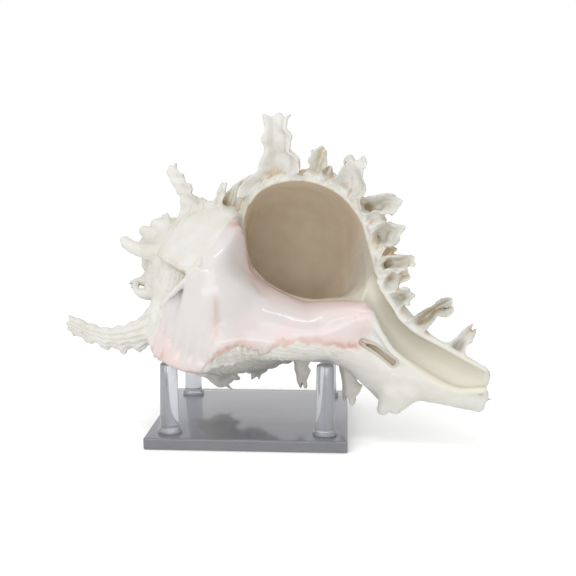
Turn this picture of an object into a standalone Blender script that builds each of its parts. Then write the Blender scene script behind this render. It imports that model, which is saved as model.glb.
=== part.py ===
"""A spiny murex shell lying on a clear acrylic stand with four round pegs.

World frame: metres, +Z up. The side at -Y is the front, where the shell's opening shows, and
the origin is the middle of the base plate's underside.

The shell grows along a spiral, so it is described in its own frame. Its X axis is the shell's
axis, from the apex to the end of the canal. A place is given by its distance along that axis,
its distance from it, and an angle around it: 0 at the outer lip, 90 towards the viewer. Sizes
in that frame are the full-grown ones in millimetres, and an earlier turn is the same shape made
smaller by the growth rate.
"""
import math

import bmesh
import bpy
from mathutils import Euler, Matrix, Vector

MM = 0.001

# Stand, in metres
BASE_SIZE = 0.085
BASE_THICKNESS = 0.005
BASE_BEVEL = 0.0013
PEG_INSET = 0.0096
PEG_HEIGHT = 0.0298
PEG_FOOT_RADIUS = 0.0041
PEG_TOP_RADIUS = 0.0036
PEG_RING_RADIUS = 0.0052
PEG_RING_HEIGHT = 0.0012
PEG_TOP_ROUND = 0.0008
PEG_STEPS = 24
SHARP_ANGLE = 35.0
GAP = 0.0003

# Shell's pose: apex, then heading, dip and roll of the axis in degrees
APEX = Vector((-0.05206, 0.00129, 0.08367))
HEADING = -12.92
DIP = 21.49
ROLL = 8.0

# Spiral growth
GROWTH_PER_TURN = 1.75
TURNS = 5
SUTURE_AXIAL = 27.0
SUTURE_RADIUS = 27.0

# Outline of the body whorl, from the seam with the turn before it to the canal: along, out
SPIRE_OUTLINE = [(30.5, 33.0), (37.0, 41.5)]
BODY_OUTLINE = [
    (55.0, 51.0), (63.0, 54.0), (71.0, 55.0), (79.0, 54.0), (87.0, 50.0), (95.0, 43.5),
    (103.0, 34.0), (110.0, 24.5), (117.0, 15.5), (125.0, 10.5), (134.0, 7.0),
]

# Thick ribs left by earlier lips, at the same places in every turn: turns before the lip, height
VARICES = [(0.0, 6.5), (-0.43, 11.0), (-0.65, 9.0)]
# Cross-section of a rib: offset in turns from its crest, and share of its height
VARIX_SECTION = [(-0.075, 0.0), (-0.045, 0.25), (-0.02, 0.7), (0.0, 1.0), (0.007, 0.85),
                 (0.02, 0.15), (0.032, 0.0)]
# Ribs grow from the seam to their full height and shrink again towards the canal: along
RIB_FULL = 44.0
RIB_SHRINK = (100.0, 130.0)
RIB_SHRINK_SHARE = 0.6
PLAIN_STEPS = 20
LEAST_STEP = 0.012
WHORL_END_ALONG = 110.0

# Opening of the shell in the plane of the lip: along, out
APERTURE = [
    (44.3, 34.6), (47.3, 42.8), (54.5, 50.0), (65.4, 55.0), (79.1, 55.2), (91.1, 49.0),
    (98.6, 39.8), (105.0, 31.0), (108.4, 24.0), (105.5, 16.5), (98.0, 12.4), (90.0, 8.4),
    (79.0, 5.6), (67.4, 4.9), (60.0, 7.2), (53.5, 11.6), (48.7, 18.4), (45.0, 26.2),
]
APERTURE_CENTRE = (78.0, 31.0)
# Inside of the last turn: turns before the lip, and share of the opening's size
CAVITY_STATIONS = [(0.05, 1.02), (0.02, 1.01), (0.0, 1.0), (-0.02, 0.945), (-0.05, 0.885),
                   (-0.1, 0.855), (-0.15, 0.845), (-0.2, 0.84), (-0.25, 0.84), (-0.3, 0.84),
                   (-0.35, 0.835), (-0.4, 0.83), (-0.45, 0.825), (-0.5, 0.81), (-0.55, 0.79),
                   (-0.6, 0.74), (-0.65, 0.64), (-0.68, 0.4)]

# Columella, callus and canal: distance along the axis, then the radius at every 30 degrees
STEM_SECTIONS = [
    (46, [8, 9, 10, 12, 14, 14, 12, 10, 9, 8, 8, 8]),
    (53, [9, 12, 18, 24, 34, 27, 18, 16, 14, 11, 9, 9]),
    (60, [7, 10, 17, 25, 42.4, 28, 18, 16, 14, 10, 8, 7]),
    (70, [5, 8.5, 15.5, 25, 33, 22, 18, 15, 12, 9, 7, 5]),
    (80, [5.3, 8.5, 15.5, 23, 28, 19, 16, 14, 12, 9, 7, 5]),
    (90, [8, 12, 17, 22, 23, 17, 14, 13, 12, 10, 8, 8]),
    (100, [13.5, 16, 18, 18.5, 17, 15, 13, 12, 11, 10, 10, 12]),
    (107, [13.5, 15.5, 17, 16.5, 15, 14, 13, 12, 11, 11, 11, 12]),
    (113, [25, 14, 12, 13, 14, 15, 15, 13, 12, 12, 13, 16]),
    (120, [15.5, 8, 9, 12, 14, 16, 18, 15, 12, 11, 11, 12]),
    (126, [11.5, 6.5, 8, 12, 14, 17, 22, 17, 12, 10.5, 10, 10]),
    (131, [9.5, 5.5, 8, 11.5, 13.5, 17, 25, 17, 12, 10, 9, 8.5]),
    (137, [8, 5, 7.5, 11, 12.5, 14, 16, 13, 11, 10, 8.5, 7.5]),
    (150, [6, 4.5, 7, 10, 11, 11, 11, 10, 9.5, 9, 7.5, 6]),
    (162, [4, 3.5, 5.5, 7.5, 8, 8, 8, 7.5, 7, 6.5, 5.5, 4.5]),
    (168.9, [2, 2, 3.5, 4.5, 5.5, 6, 6, 5, 4.5, 4, 3, 2]),
]

# Open spines. Each has points (along, out, lean towards the viewer) from root to tip, then its
# width at the root and at the tip.
LIP_SPINES = [
    ([(55.5, 47, -4), (52.5, 58, -2), (47.5, 68, 0), (44.3, 77.5, 0)], 22, 11),
    ([(67.5, 56, -4), (67.0, 63, -2), (66.3, 70.5, -1)], 8, 4.5),
    ([(82.0, 55, -4), (82.5, 63, -2), (81.5, 73.0, -1)], 12, 6),
    ([(93.0, 50, -4), (97.5, 57, -2), (103.5, 62.5, -1)], 11, 6),
    ([(99.5, 41, -4), (104.0, 48, -2), (108.3, 52.0, -1)], 10, 6),
    ([(106.0, 32, -4), (112.0, 38, -2), (118.5, 42.0, -1)], 9, 5),
    ([(110.5, 26, -4), (115.0, 31, -2), (119.8, 33.5, -1)], 8, 5),
    ([(115.5, 19, -4), (120.0, 23, -2), (124.0, 25.5, -1)], 8, 5),
    ([(127.0, 11, -2), (132.0, 22, -2), (138.5, 31.5, -2)], 8, 5),
    ([(144.0, 4, -1), (148.5, 15, -2), (151.2, 26.0, -2)], 9, 4),
    ([(158.0, 2, -1), (161.5, 7, -1), (163.8, 10.5, -1)], 6, 3),
]
# The same on earlier ribs, each with its place in turns before the lip
EARLIER_SPINES = [
    (-0.65, [(48, 44, 2), (34, 58, 9.5), (14.4, 65.4, 16.5), (-12.8, 66.3, 17.7)], 25, 5),
    (-0.65, [(80, 48, 0), (83, 64, 1)], 12, 5),
    (-0.65, [(57, 47, 2), (53, 67, 7)], 13, 6),
    (-0.43, [(50, 42, 2), (42, 55, 6), (32, 64.5, 9), (17, 69.5, 11)], 15, 6),
    (-0.43, [(62, 46, 0), (62, 66, -6), (62, 78, -12)], 26, 20),
    (-0.43, [(84, 44, 0), (86, 56, -4), (86, 63, -8)], 14, 8),
    (-0.43, [(107, 22, 0), (113, 36, -7), (118, 45, -12)], 15, 5),
    (-0.43, [(130, 8, 0), (141, 24, -8), (146.5, 38, -13)], 14, 7),
    (-0.325, [(104, 18, 0), (106, 42, 0), (107, 61, 1)], 11, 6),
    (-1.0, [(38, 36, 0), (29, 50, 0), (17, 60, 0), (8.6, 66.5, 0)], 13, 4),
    (-1.0, [(43, 38, 0), (42, 53, 0)], 8, 5),
    (-1.0, [(55, 46, 0), (54.5, 72, 0)], 8, 3),
    (-1.43, [(40, 36, 0), (26, 54, 0)], 13, 6),
    (-1.65, [(40, 36, 0), (24, 58, 0)], 13, 6),
    (-1.78, [(44, 38, 0), (30, 45, 0), (5, 43, 0)], 17, 9),
    (-2.0, [(38, 36, 0), (27, 52, 0)], 13, 6),
    (-2.43, [(38, 36, 0), (27, 52, 0)], 13, 6),
]
SPINE_THICKNESS = 0.5
# Cross-section of a spine in half widths: across, and out to the viewer's side
SPINE_SECTION = [(-1.0, 0.55), (0.0, -0.15), (1.0, 0.55), (0.85, -0.45), (0.0, -1.0),
                 (-0.85, -0.45)]


def smooth_between(low, high, value):
    """Return 0 below low, 1 above high, and an eased value between."""
    share = min(1.0, max(0.0, (value - low) / (high - low)))
    return share * share * (3.0 - 2.0 * share)


def growth(turn):
    """Return the size of the shell at a turn, where the lip is turn 0."""
    return GROWTH_PER_TURN ** turn


def shell_point(along, out, angle):
    """Return a point in the shell's frame, in metres, from its cylindrical place."""
    radians = math.radians(angle)
    return Vector((along, -out * math.sin(radians), out * math.cos(radians))) * MM


def leaning_point(along, out, lean, turn=0.0):
    """Return a point given in the half-plane of a rib, with a lean towards the viewer's side."""
    angle = math.radians(360.0 * turn)
    size = growth(turn)
    upward = out * math.cos(angle) - lean * math.sin(angle)
    forward = out * math.sin(angle) + lean * math.cos(angle)
    return Vector((along, -forward, upward)) * size * MM


def shell_matrix():
    """Return the transform from the shell's frame to the world."""
    turn = Euler((math.radians(ROLL), math.radians(DIP), math.radians(HEADING)), "XYZ")
    return Matrix.Translation(APEX) @ turn.to_matrix().to_4x4()


def varix_height(turn, along):
    """Return how far the nearest rib stands out at a turn, before scaling."""
    height = 0.0
    for crest, full_height in VARICES:
        offset = (turn - crest + 0.5) % 1.0 - 0.5
        for (left, low), (right, high) in zip(VARIX_SECTION, VARIX_SECTION[1:]):
            if left <= offset <= right:
                share = low + (high - low) * (offset - left) / (right - left)
                height = max(height, share * full_height)
    near_seam = smooth_between(SUTURE_AXIAL, RIB_FULL, along)
    near_canal = smooth_between(*RIB_SHRINK, along)
    return height * near_seam * (1.0 - RIB_SHRINK_SHARE * near_canal)


def station_turns():
    """Return the places within one turn, from -1 up to 0, where the whorl has points."""
    places = []
    for crest, _ in VARICES:
        places += [round((crest + offset) % 1.0 - 1.0, 4) for offset, _ in VARIX_SECTION]
    for step in range(PLAIN_STEPS):
        place = step / PLAIN_STEPS - 1.0
        if min(abs(place - other) for other in places + [0.0]) > LEAST_STEP:
            places.append(place)
    return sorted(places)


def new_object(name, mesh_builder, material, parent_matrix=None):
    """Make a named object from a filled bmesh and give it its material."""
    mesh = bpy.data.meshes.new(name)
    mesh_builder.to_mesh(mesh)
    mesh_builder.free()
    made = bpy.data.objects.new(name, mesh)
    if material:
        mesh.materials.append(material)
    if parent_matrix:
        made.matrix_world = parent_matrix
    bpy.context.scene.collection.objects.link(made)
    return made


def make_material(name, colour, roughness, alpha=1.0):
    """Make a Principled material."""
    material = bpy.data.materials.new(name)
    material.use_nodes = True
    shader = material.node_tree.nodes["Principled BSDF"]
    shader.inputs["Base Color"].default_value = (*colour, 1.0)
    shader.inputs["Roughness"].default_value = roughness
    shader.inputs["Metallic"].default_value = 0.0
    shader.inputs["Alpha"].default_value = alpha
    return material


def build_whorls():
    """Build the coiled body as one spiral strip, closed at the apex, the lip and the axis."""
    builder = bmesh.new()
    places = station_turns()
    turns = [place - whole for whole in range(TURNS - 1, -1, -1) for place in places] + [0.0]
    per_turn = len(places)
    seam_row = len(SPIRE_OUTLINE) + 1
    seam_along = SUTURE_AXIAL * GROWTH_PER_TURN
    seam_out = SUTURE_RADIUS * GROWTH_PER_TURN
    rows = SPIRE_OUTLINE + [(seam_along, seam_out)] + BODY_OUTLINE
    columns = []
    for index, turn in enumerate(turns):
        size = growth(turn)
        if index >= per_turn:
            column = [columns[index - per_turn][seam_row]]
        else:
            place = shell_point(SUTURE_AXIAL * size, SUTURE_RADIUS * size, 360.0 * turn)
            column = [builder.verts.new(place)]
        last_row = len(rows) if turn >= -1.0 else seam_row
        for along, out in rows[:last_row]:
            reach = out + varix_height(turn, along)
            column.append(builder.verts.new(shell_point(along * size, reach * size, 360.0 * turn)))
        columns.append(column)
    for older, newer in zip(columns, columns[1:]):
        for row in range(min(len(older), len(newer)) - 1):
            builder.faces.new((older[row], older[row + 1], newer[row + 1], newer[row]))
    close_apex(builder, columns[:per_turn + 1])
    close_lip(builder, columns[-per_turn - 1:], seam_row)
    bmesh.ops.recalc_face_normals(builder, faces=builder.faces[:])
    bmesh.ops.triangulate(builder, faces=[f for f in builder.faces if len(f.verts) < 5])
    return builder


def close_apex(builder, columns):
    """Close the first turn with a fan around the apex."""
    apex = builder.verts.new(shell_point(0.0, 0.0, 0.0))
    for older, newer in zip(columns, columns[1:]):
        builder.faces.new((apex, older[0], newer[0]))
    builder.faces.new([apex, *reversed(columns[0])])


def close_lip(builder, columns, seam_row):
    """Close the last turn with the flat face of the lip and a fan around the axis."""
    middle = builder.verts.new(shell_point(WHORL_END_ALONG, 0.0, 0.0))
    for older, newer in zip(columns, columns[1:]):
        builder.faces.new((middle, newer[-1], older[-1]))
    inner = columns[0][seam_row + 1:]
    builder.faces.new([*columns[-1], middle, *reversed(inner)])


def build_rings(rings):
    """Build a closed solid from rings of points with the same count."""
    builder = bmesh.new()
    loops = [[builder.verts.new(point) for point in ring] for ring in rings]
    count = len(rings[0])
    for lower, upper in zip(loops, loops[1:]):
        for step in range(count):
            after = (step + 1) % count
            builder.faces.new((lower[step], lower[after], upper[after], upper[step]))
    builder.faces.new(loops[0])
    builder.faces.new(loops[-1])
    bmesh.ops.recalc_face_normals(builder, faces=builder.faces[:])
    return builder


def build_stem():
    """Build the columella, its callus and the canal as one lofted stem."""
    rings = []
    for along, radii in STEM_SECTIONS:
        step = 360.0 / len(radii)
        rings.append([shell_point(along, out, step * index) for index, out in enumerate(radii)])
    builder = build_rings(rings)
    bmesh.ops.triangulate(builder, faces=[f for f in builder.faces if len(f.verts) == 4])
    return builder


def build_cavity():
    """Build the hollow that the opening leads into, coiling back inside the last turn."""
    centre_along, centre_out = APERTURE_CENTRE
    rings = []
    for turn, share in CAVITY_STATIONS:
        size = growth(turn)
        ring = []
        for along, out in APERTURE:
            ring_along = centre_along + (along - centre_along) * share
            ring_out = centre_out + (out - centre_out) * share
            ring.append(shell_point(ring_along * size, ring_out * size, 360.0 * turn))
        rings.append(ring)
    return build_rings(rings)


def build_spine(points, root_width, tip_width, turn):
    """Build one open spine: a tapering blade with a groove along its viewer's side."""
    size = growth(turn)
    path = [leaning_point(along, out, lean, turn) for along, out, lean in points]
    angle = math.radians(360.0 * turn)
    viewer_side = Vector((0.0, -math.cos(angle), -math.sin(angle)))
    rings = []
    for index, place in enumerate(path):
        before = path[max(index - 1, 0)]
        after = path[min(index + 1, len(path) - 1)]
        direction = (after - before).normalized()
        across = direction.cross(viewer_side).normalized()
        outward = across.cross(direction)
        share = index / (len(path) - 1)
        half = 0.5 * (root_width + (tip_width - root_width) * share) * size * MM
        thick = half * SPINE_THICKNESS
        rings.append([place + across * (half * x) + outward * (thick * y)
                      for x, y in SPINE_SECTION])
    return build_rings(rings)


def hide_helper(helper):
    """Mark an object as a shape that only cuts or joins others."""
    helper.hide_render = True
    helper.display_type = "WIRE"


def add_boolean(target, operation, helpers):
    """Join or cut a target with helper objects kept in a collection of their own."""
    group = bpy.data.collections.new(f"{target.name}_{operation.lower()}")
    bpy.context.scene.collection.children.link(group)
    for helper in helpers:
        bpy.context.scene.collection.objects.unlink(helper)
        group.objects.link(helper)
        hide_helper(helper)
    modifier = target.modifiers.new(operation.title(), "BOOLEAN")
    modifier.operation = operation
    modifier.operand_type = "COLLECTION"
    modifier.collection = group
    modifier.solver = "EXACT"


def build_shell(material):
    """Build the shell: whorls, stem and spines joined, with the hollow cut out."""
    matrix = shell_matrix()
    shell = new_object("murex_shell", build_whorls(), material, matrix)
    joined = [new_object("stem", build_stem(), None, matrix)]
    spines = [(0.0, *spine) for spine in LIP_SPINES] + EARLIER_SPINES
    for number, (turn, points, root_width, tip_width) in enumerate(spines):
        blade = build_spine(points, root_width, tip_width, turn)
        joined.append(new_object(f"spine_{number:02d}", blade, None, matrix))
    add_boolean(shell, "UNION", joined)
    add_boolean(shell, "DIFFERENCE", [new_object("cavity", build_cavity(), None, matrix)])
    return shell


def build_base(material):
    """Build the square base plate with polished bevelled edges."""
    builder = bmesh.new()
    bmesh.ops.create_cube(builder, size=1.0)
    scale = Vector((BASE_SIZE, BASE_SIZE, BASE_THICKNESS))
    bmesh.ops.scale(builder, vec=scale, verts=builder.verts[:])
    bmesh.ops.translate(builder, vec=(0.0, 0.0, BASE_THICKNESS / 2), verts=builder.verts[:])
    base = new_object("stand_base", builder, material)
    bevel = base.modifiers.new("Edges", "BEVEL")
    bevel.width = BASE_BEVEL
    bevel.segments = 2
    return base


def build_peg(name, side_x, side_y, material):
    """Build one round peg, a little wider at its foot."""
    profile = [
        (PEG_RING_RADIUS, 0.0), (PEG_FOOT_RADIUS, PEG_RING_HEIGHT),
        (PEG_TOP_RADIUS, PEG_HEIGHT - PEG_TOP_ROUND), (PEG_TOP_RADIUS - PEG_TOP_ROUND, PEG_HEIGHT),
    ]
    rings = []
    for radius, height in profile:
        ring = []
        for step in range(PEG_STEPS):
            angle = math.tau * step / PEG_STEPS
            ring.append(Vector((radius * math.cos(angle), radius * math.sin(angle), height)))
        rings.append(ring)
    peg = new_object(name, build_rings(rings), material)
    reach = BASE_SIZE / 2 - PEG_INSET
    peg.location = (side_x * reach, side_y * reach, BASE_THICKNESS + GAP)
    peg.data.shade_smooth()
    peg.data.set_sharp_from_angle(angle=math.radians(SHARP_ANGLE))
    return peg


def main():
    """Build the shell and its stand."""
    for old in list(bpy.data.objects):
        bpy.data.objects.remove(old, do_unlink=True)
    shell_white = make_material("shell", (0.80, 0.76, 0.68), 0.45)
    acrylic = make_material("clear_acrylic", (0.86, 0.88, 0.89), 0.05, 0.35)
    shell = build_shell(shell_white)
    shell.data.shade_smooth()
    build_base(acrylic)
    for side_name, side_y in (("front", -1), ("back", 1)):
        for hand_name, side_x in (("left", -1), ("right", 1)):
            build_peg(f"stand_peg_{side_name}_{hand_name}", side_x, side_y, acrylic)


main()
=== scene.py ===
"""Looks of a spiny murex shell that lies on a clear acrylic stand with four round pegs.

World frame: metres, +Z up, and -Y is the side that shows the shell's opening.

The shell is shaped in a frame of its own, in millimetres: along is its axis from the apex to the
end of the canal, up is towards the outer lip, and out is towards the viewer. An angle around the
axis is 0 at the lip and 90 towards the viewer. One turn is a whole revolution of growth, the lip
is turn 0, and an earlier turn is the same shape made smaller by the growth rate. Its skin is the
zero level of one distance field, so that whorls, columella, canal and spines grow into each
other as they do in the real shell.
"""
import logging
import math
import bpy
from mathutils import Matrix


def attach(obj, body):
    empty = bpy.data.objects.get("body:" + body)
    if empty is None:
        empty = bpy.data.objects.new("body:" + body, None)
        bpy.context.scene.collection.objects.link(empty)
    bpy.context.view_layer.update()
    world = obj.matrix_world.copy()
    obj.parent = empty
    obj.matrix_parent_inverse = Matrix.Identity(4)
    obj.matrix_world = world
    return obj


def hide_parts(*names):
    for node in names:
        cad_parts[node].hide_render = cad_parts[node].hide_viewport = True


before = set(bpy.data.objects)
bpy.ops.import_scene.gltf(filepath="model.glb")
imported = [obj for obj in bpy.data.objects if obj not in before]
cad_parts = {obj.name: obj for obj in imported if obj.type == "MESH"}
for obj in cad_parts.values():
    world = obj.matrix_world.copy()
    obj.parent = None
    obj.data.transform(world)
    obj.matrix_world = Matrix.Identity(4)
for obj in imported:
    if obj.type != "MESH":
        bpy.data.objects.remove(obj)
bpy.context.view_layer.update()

from concurrent.futures import ThreadPoolExecutor
from dataclasses import dataclass, field
from enum import Enum

import bmesh
import bpy
import numpy as np
from mathutils import Euler, Matrix, Vector

MM = 0.001
# Farther than anything in the scene, in millimetres, and too small to matter
FAR = 1e9
TINY = 1e-12
Array = np.ndarray
log = logging.getLogger("murex")


# Numbers and curves


def ease(low: float, high: float, value: Array) -> Array:
    """Return 0 before low, 1 after high and an eased value between them."""
    share = np.clip((value - low) / (high - low), 0.0, 1.0)
    return share * share * (3.0 - 2.0 * share)


def hump(low: float, high: float, soft: float, value: Array) -> Array:
    """Return 1 between low and high, fading to 0 over a soft distance outside them."""
    return ease(low - soft, low, value) * (1.0 - ease(high, high + soft, value))


def blend_min(first: Array, second: Array, width: Array) -> Array:
    """Join two distance fields with a fillet about as wide as width."""
    share = np.clip(0.5 + 0.5 * (second - first) / width, 0.0, 1.0)
    return second + (first - second) * share - width * share * (1.0 - share)


def blend_max(first: Array, second: Array, width: Array) -> Array:
    """Keep what is in both distance fields, with edges rounded by width."""
    return -blend_min(-first, -second, width)


def growth(turn: Array) -> Array:
    """Return the size of the shell at a turn, where the lip is turn 0."""
    return GROWTH_PER_TURN ** turn


def smooth_curve(points: list, steps: int = 8) -> Array:
    """Run a smooth curve through points.

    Args:
        points: places of any dimension, in order.
        steps: places on the curve for each stretch between two points.

    Returns:
        The places on the curve, with both ends.
    """
    given = np.array(points, dtype=float)
    padded = np.vstack([2 * given[0] - given[1], given, 2 * given[-1] - given[-2]])
    share = np.linspace(0.0, 1.0, steps, endpoint=False)[:, None]
    parts = []
    for index in range(len(given) - 1):
        before, start, end, after = padded[index:index + 4]
        bend = 2 * before - 5 * start + 4 * end - after
        parts.append(0.5 * (2 * start + (end - before) * share + bend * share ** 2
                            + (3 * start - before - 3 * end + after) * share ** 3))
    return np.vstack(parts + [given[-1:]])


def sample_table(table: Array, column: Array, row: Array) -> Array:
    """Read a table between its entries, and at its edge beyond them.

    Args:
        table: the entries.
        column: where to read it, counted in entries along its first axis.
        row: the same along its second axis.

    Returns:
        The value at each place.
    """
    column = np.clip(column, 0.0, table.shape[0] - 1.001)
    row = np.clip(row, 0.0, table.shape[1] - 1.001)
    left, low = column.astype(np.int32), row.astype(np.int32)
    across, upward = column - left, row - low
    below = table[left, low] * (1 - across) + table[left + 1, low] * across
    above = table[left, low + 1] * (1 - across) + table[left + 1, low + 1] * across
    return below * (1 - upward) + above * upward


class FlatDistance:
    """Signed distance from a closed outline in a plane, kept in a table."""

    def __init__(self, loop: Array, low: tuple, high: tuple, step: float = 0.6) -> None:
        """Measure the distances.

        Args:
            loop: corners of the closed outline, in order.
            low: lowest corner of the table.
            high: highest corner of the table.
            step: spacing of its entries.
        """
        self.low, self.step = low, step
        x, y = np.meshgrid(np.arange(low[0], high[0], step), np.arange(low[1], high[1], step),
                           indexing="ij")
        nearest = np.full(x.shape, FAR)
        inside = np.zeros(x.shape, dtype=bool)
        for (ax, ay), (bx, by) in zip(loop, np.roll(loop, -1, axis=0)):
            dx, dy = bx - ax, by - ay
            share = np.clip(((x - ax) * dx + (y - ay) * dy) / (dx * dx + dy * dy + TINY), 0, 1)
            nearest = np.minimum(nearest, np.hypot(x - ax - share * dx, y - ay - share * dy))
            if dy:
                crosses = (ay > y) != (by > y)
                inside ^= crosses & (x < ax + (y - ay) * dx / dy)
        self.table = np.where(inside, -nearest, nearest).astype(np.float32)

    def at(self, x: Array, y: Array) -> Array:
        """Return the distance at places in the plane, negative inside."""
        return sample_table(self.table, (x - self.low[0]) / self.step,
                            (y - self.low[1]) / self.step)


class LatticeNoise:
    """Smooth seeded noise from -1 to 1 that repeats far away."""

    SIZE = 32

    def __init__(self, seed: int) -> None:
        """Draw the values at the lattice's points."""
        drawn = np.random.default_rng(seed).uniform(-1.0, 1.0, (self.SIZE,) * 3)
        self.values = drawn.astype(np.float32)

    def at(self, points: Array, size: float) -> Array:
        """Return the noise at points.

        Args:
            points: where to read it.
            size: about how large its blotches are, in the points' unit.
        """
        scaled = points / size
        floor = np.floor(scaled)
        share = scaled - floor
        share = share * share * (3.0 - 2.0 * share)
        cell = floor.astype(np.int32) % self.SIZE
        after = (cell + 1) % self.SIZE
        total = np.zeros(len(points), dtype=np.float32)
        for corner in range(8):
            picks = [(corner >> axis) & 1 for axis in range(3)]
            index = tuple((after if pick else cell)[:, axis] for axis, pick in enumerate(picks))
            weight = np.ones(len(points), dtype=np.float32)
            for axis, pick in enumerate(picks):
                weight = weight * (share[:, axis] if pick else 1.0 - share[:, axis])
            total += self.values[index] * weight
        return total


# The shell's growth: its outlines, ribs and opening are the solids', and its hollow and its stem
# follow theirs closely

GROWTH_PER_TURN = 1.75
SUTURE = (27.0, 27.0)
SPIRE_OUTLINE = [(30.5, 33.0), (37.0, 41.5), (47.25, 47.25)]
BODY_OUTLINE = [
    (55.0, 51.0), (63.0, 54.0), (71.0, 55.0), (79.0, 54.0), (87.0, 50.0), (95.0, 43.5),
    (103.0, 34.0), (110.0, 24.5), (117.0, 15.5), (125.0, 10.5), (134.0, 7.0),
]
APERTURE = [
    (44.3, 34.6), (47.3, 42.8), (54.5, 50.0), (65.4, 55.0), (79.1, 55.2), (91.1, 49.0),
    (98.6, 39.8), (105.0, 31.0), (108.4, 24.0), (105.5, 16.5), (98.0, 12.4), (90.0, 8.4),
    (79.0, 5.6), (67.4, 4.9), (60.0, 7.2), (53.5, 11.6), (48.7, 18.4), (45.0, 26.2),
]
APERTURE_CENTRE = (78.0, 31.0)
# Inside of the last turn: turns before the lip, and share of the opening's size
CAVITY_STATIONS = [(-0.5, 0.81), (-0.4, 0.82), (-0.3, 0.825), (-0.1, 0.84), (-0.05, 0.875),
                   (-0.02, 0.94), (0.0, 1.0), (0.02, 1.01), (0.05, 1.02)]
# Thick ribs left by earlier lips, at the same places in every turn: turns before the lip, height
VARICES = [(0.0, 6.5), (-0.43, 11.0), (-0.65, 9.0)]
# Cross-section of a rib: offset in turns from its crest, and share of its height
VARIX_SECTION = [(-0.075, 0.0), (-0.045, 0.25), (-0.02, 0.7), (0.0, 1.0), (0.007, 0.85),
                 (0.02, 0.15), (0.032, 0.0)]
# Low knobs on the shoulder between the ribs: turns before the lip, height
KNOBS = [(-0.14, 2.2), (-0.29, 3.2), (-0.56, 6.5)]
# Columella, callus and canal: distance along the axis, then the radius at every 30 degrees
STEM_SECTIONS = [
    (46, [8, 9, 10, 12, 14, 14, 12, 10, 9, 8, 8, 8]),
    (53, [9, 12, 18, 24, 34, 27, 18, 16, 14, 11, 9, 9]),
    (60, [7, 10, 17, 25, 41, 28, 18, 16, 14, 10, 8, 7]),
    (70, [5, 8.5, 15.5, 25, 33, 22, 18, 15, 12, 9, 7, 5]),
    (80, [5.3, 8.5, 15.5, 23, 28, 19, 16, 14, 12, 9, 7, 5]),
    (90, [8, 12, 17, 22, 23, 17, 14, 13, 12, 10, 8, 8]),
    (100, [13.5, 16, 18, 18.5, 17, 15, 13, 12, 11, 10, 10, 12]),
    (107, [13.5, 15.5, 17, 16.5, 15, 14, 13, 12, 11, 11, 11, 12]),
    (113, [16, 14, 14, 14.5, 14, 15, 15, 13, 12, 12, 12, 13]),
    (120, [14, 12, 13, 13.5, 14, 16, 18, 15, 12, 11, 11, 11]),
    (126, [12, 10.5, 12, 13, 14, 17, 21, 17, 12, 10.5, 10, 9]),
    (131, [11, 10, 11.5, 12.5, 13.5, 17, 20, 17, 12, 10, 9, 8]),
    (137, [10, 9, 11, 12.5, 12.5, 14, 16, 13, 11, 10, 8.5, 7]),
    (150, [5.5, 4.5, 7, 10, 11, 11, 11, 10, 9.5, 9, 7.5, 6]),
    (162, [4, 3.5, 5.5, 7.5, 8, 8, 8, 7.5, 7, 6.5, 5.5, 4.5]),
    (168, [2, 2, 3.5, 4.5, 5.5, 6, 6, 5, 4.5, 4, 3, 2]),
]
# Edge of the callus on the turn before the opening: angle, distance along at full-grown size
CALLUS_EDGE = [(0.0, 75.5), (21.0, 71.2), (45.0, 68.9), (68.0, 64.8), (85.0, 57.1), (99.0, 49.7),
               (109.0, 48.0), (180.0, 49.0)]
# Lower rim of the callus: distance along the axis, angle
CALLUS_RIM = [(30.0, 134.0), (37.0, 130.0), (44.0, 130.0), (49.0, 136.0), (56.0, 130.0),
              (60.0, 122.0), (64.0, 113.0), (71.7, 110.0), (77.0, 117.0), (83.0, 105.0),
              (92.0, 97.0), (100.0, 94.0), (109.0, 88.0), (120.0, 80.0)]
# Flat shoulder between the seam and the callus: direction that it faces, distance from the apex
SHOULDER_FACE = ((-0.477, 0.688, 0.548), 8.4)


@dataclass
class Places:
    """Points of the shell's frame with their distance from the axis and angle round it."""

    points: Array

    def __post_init__(self) -> None:
        """Work out the cylindrical places."""
        self.along, self.up, self.out = self.points.T
        self.radius = np.hypot(self.up, self.out)
        self.angle = np.degrees(np.arctan2(self.out, self.up))


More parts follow.
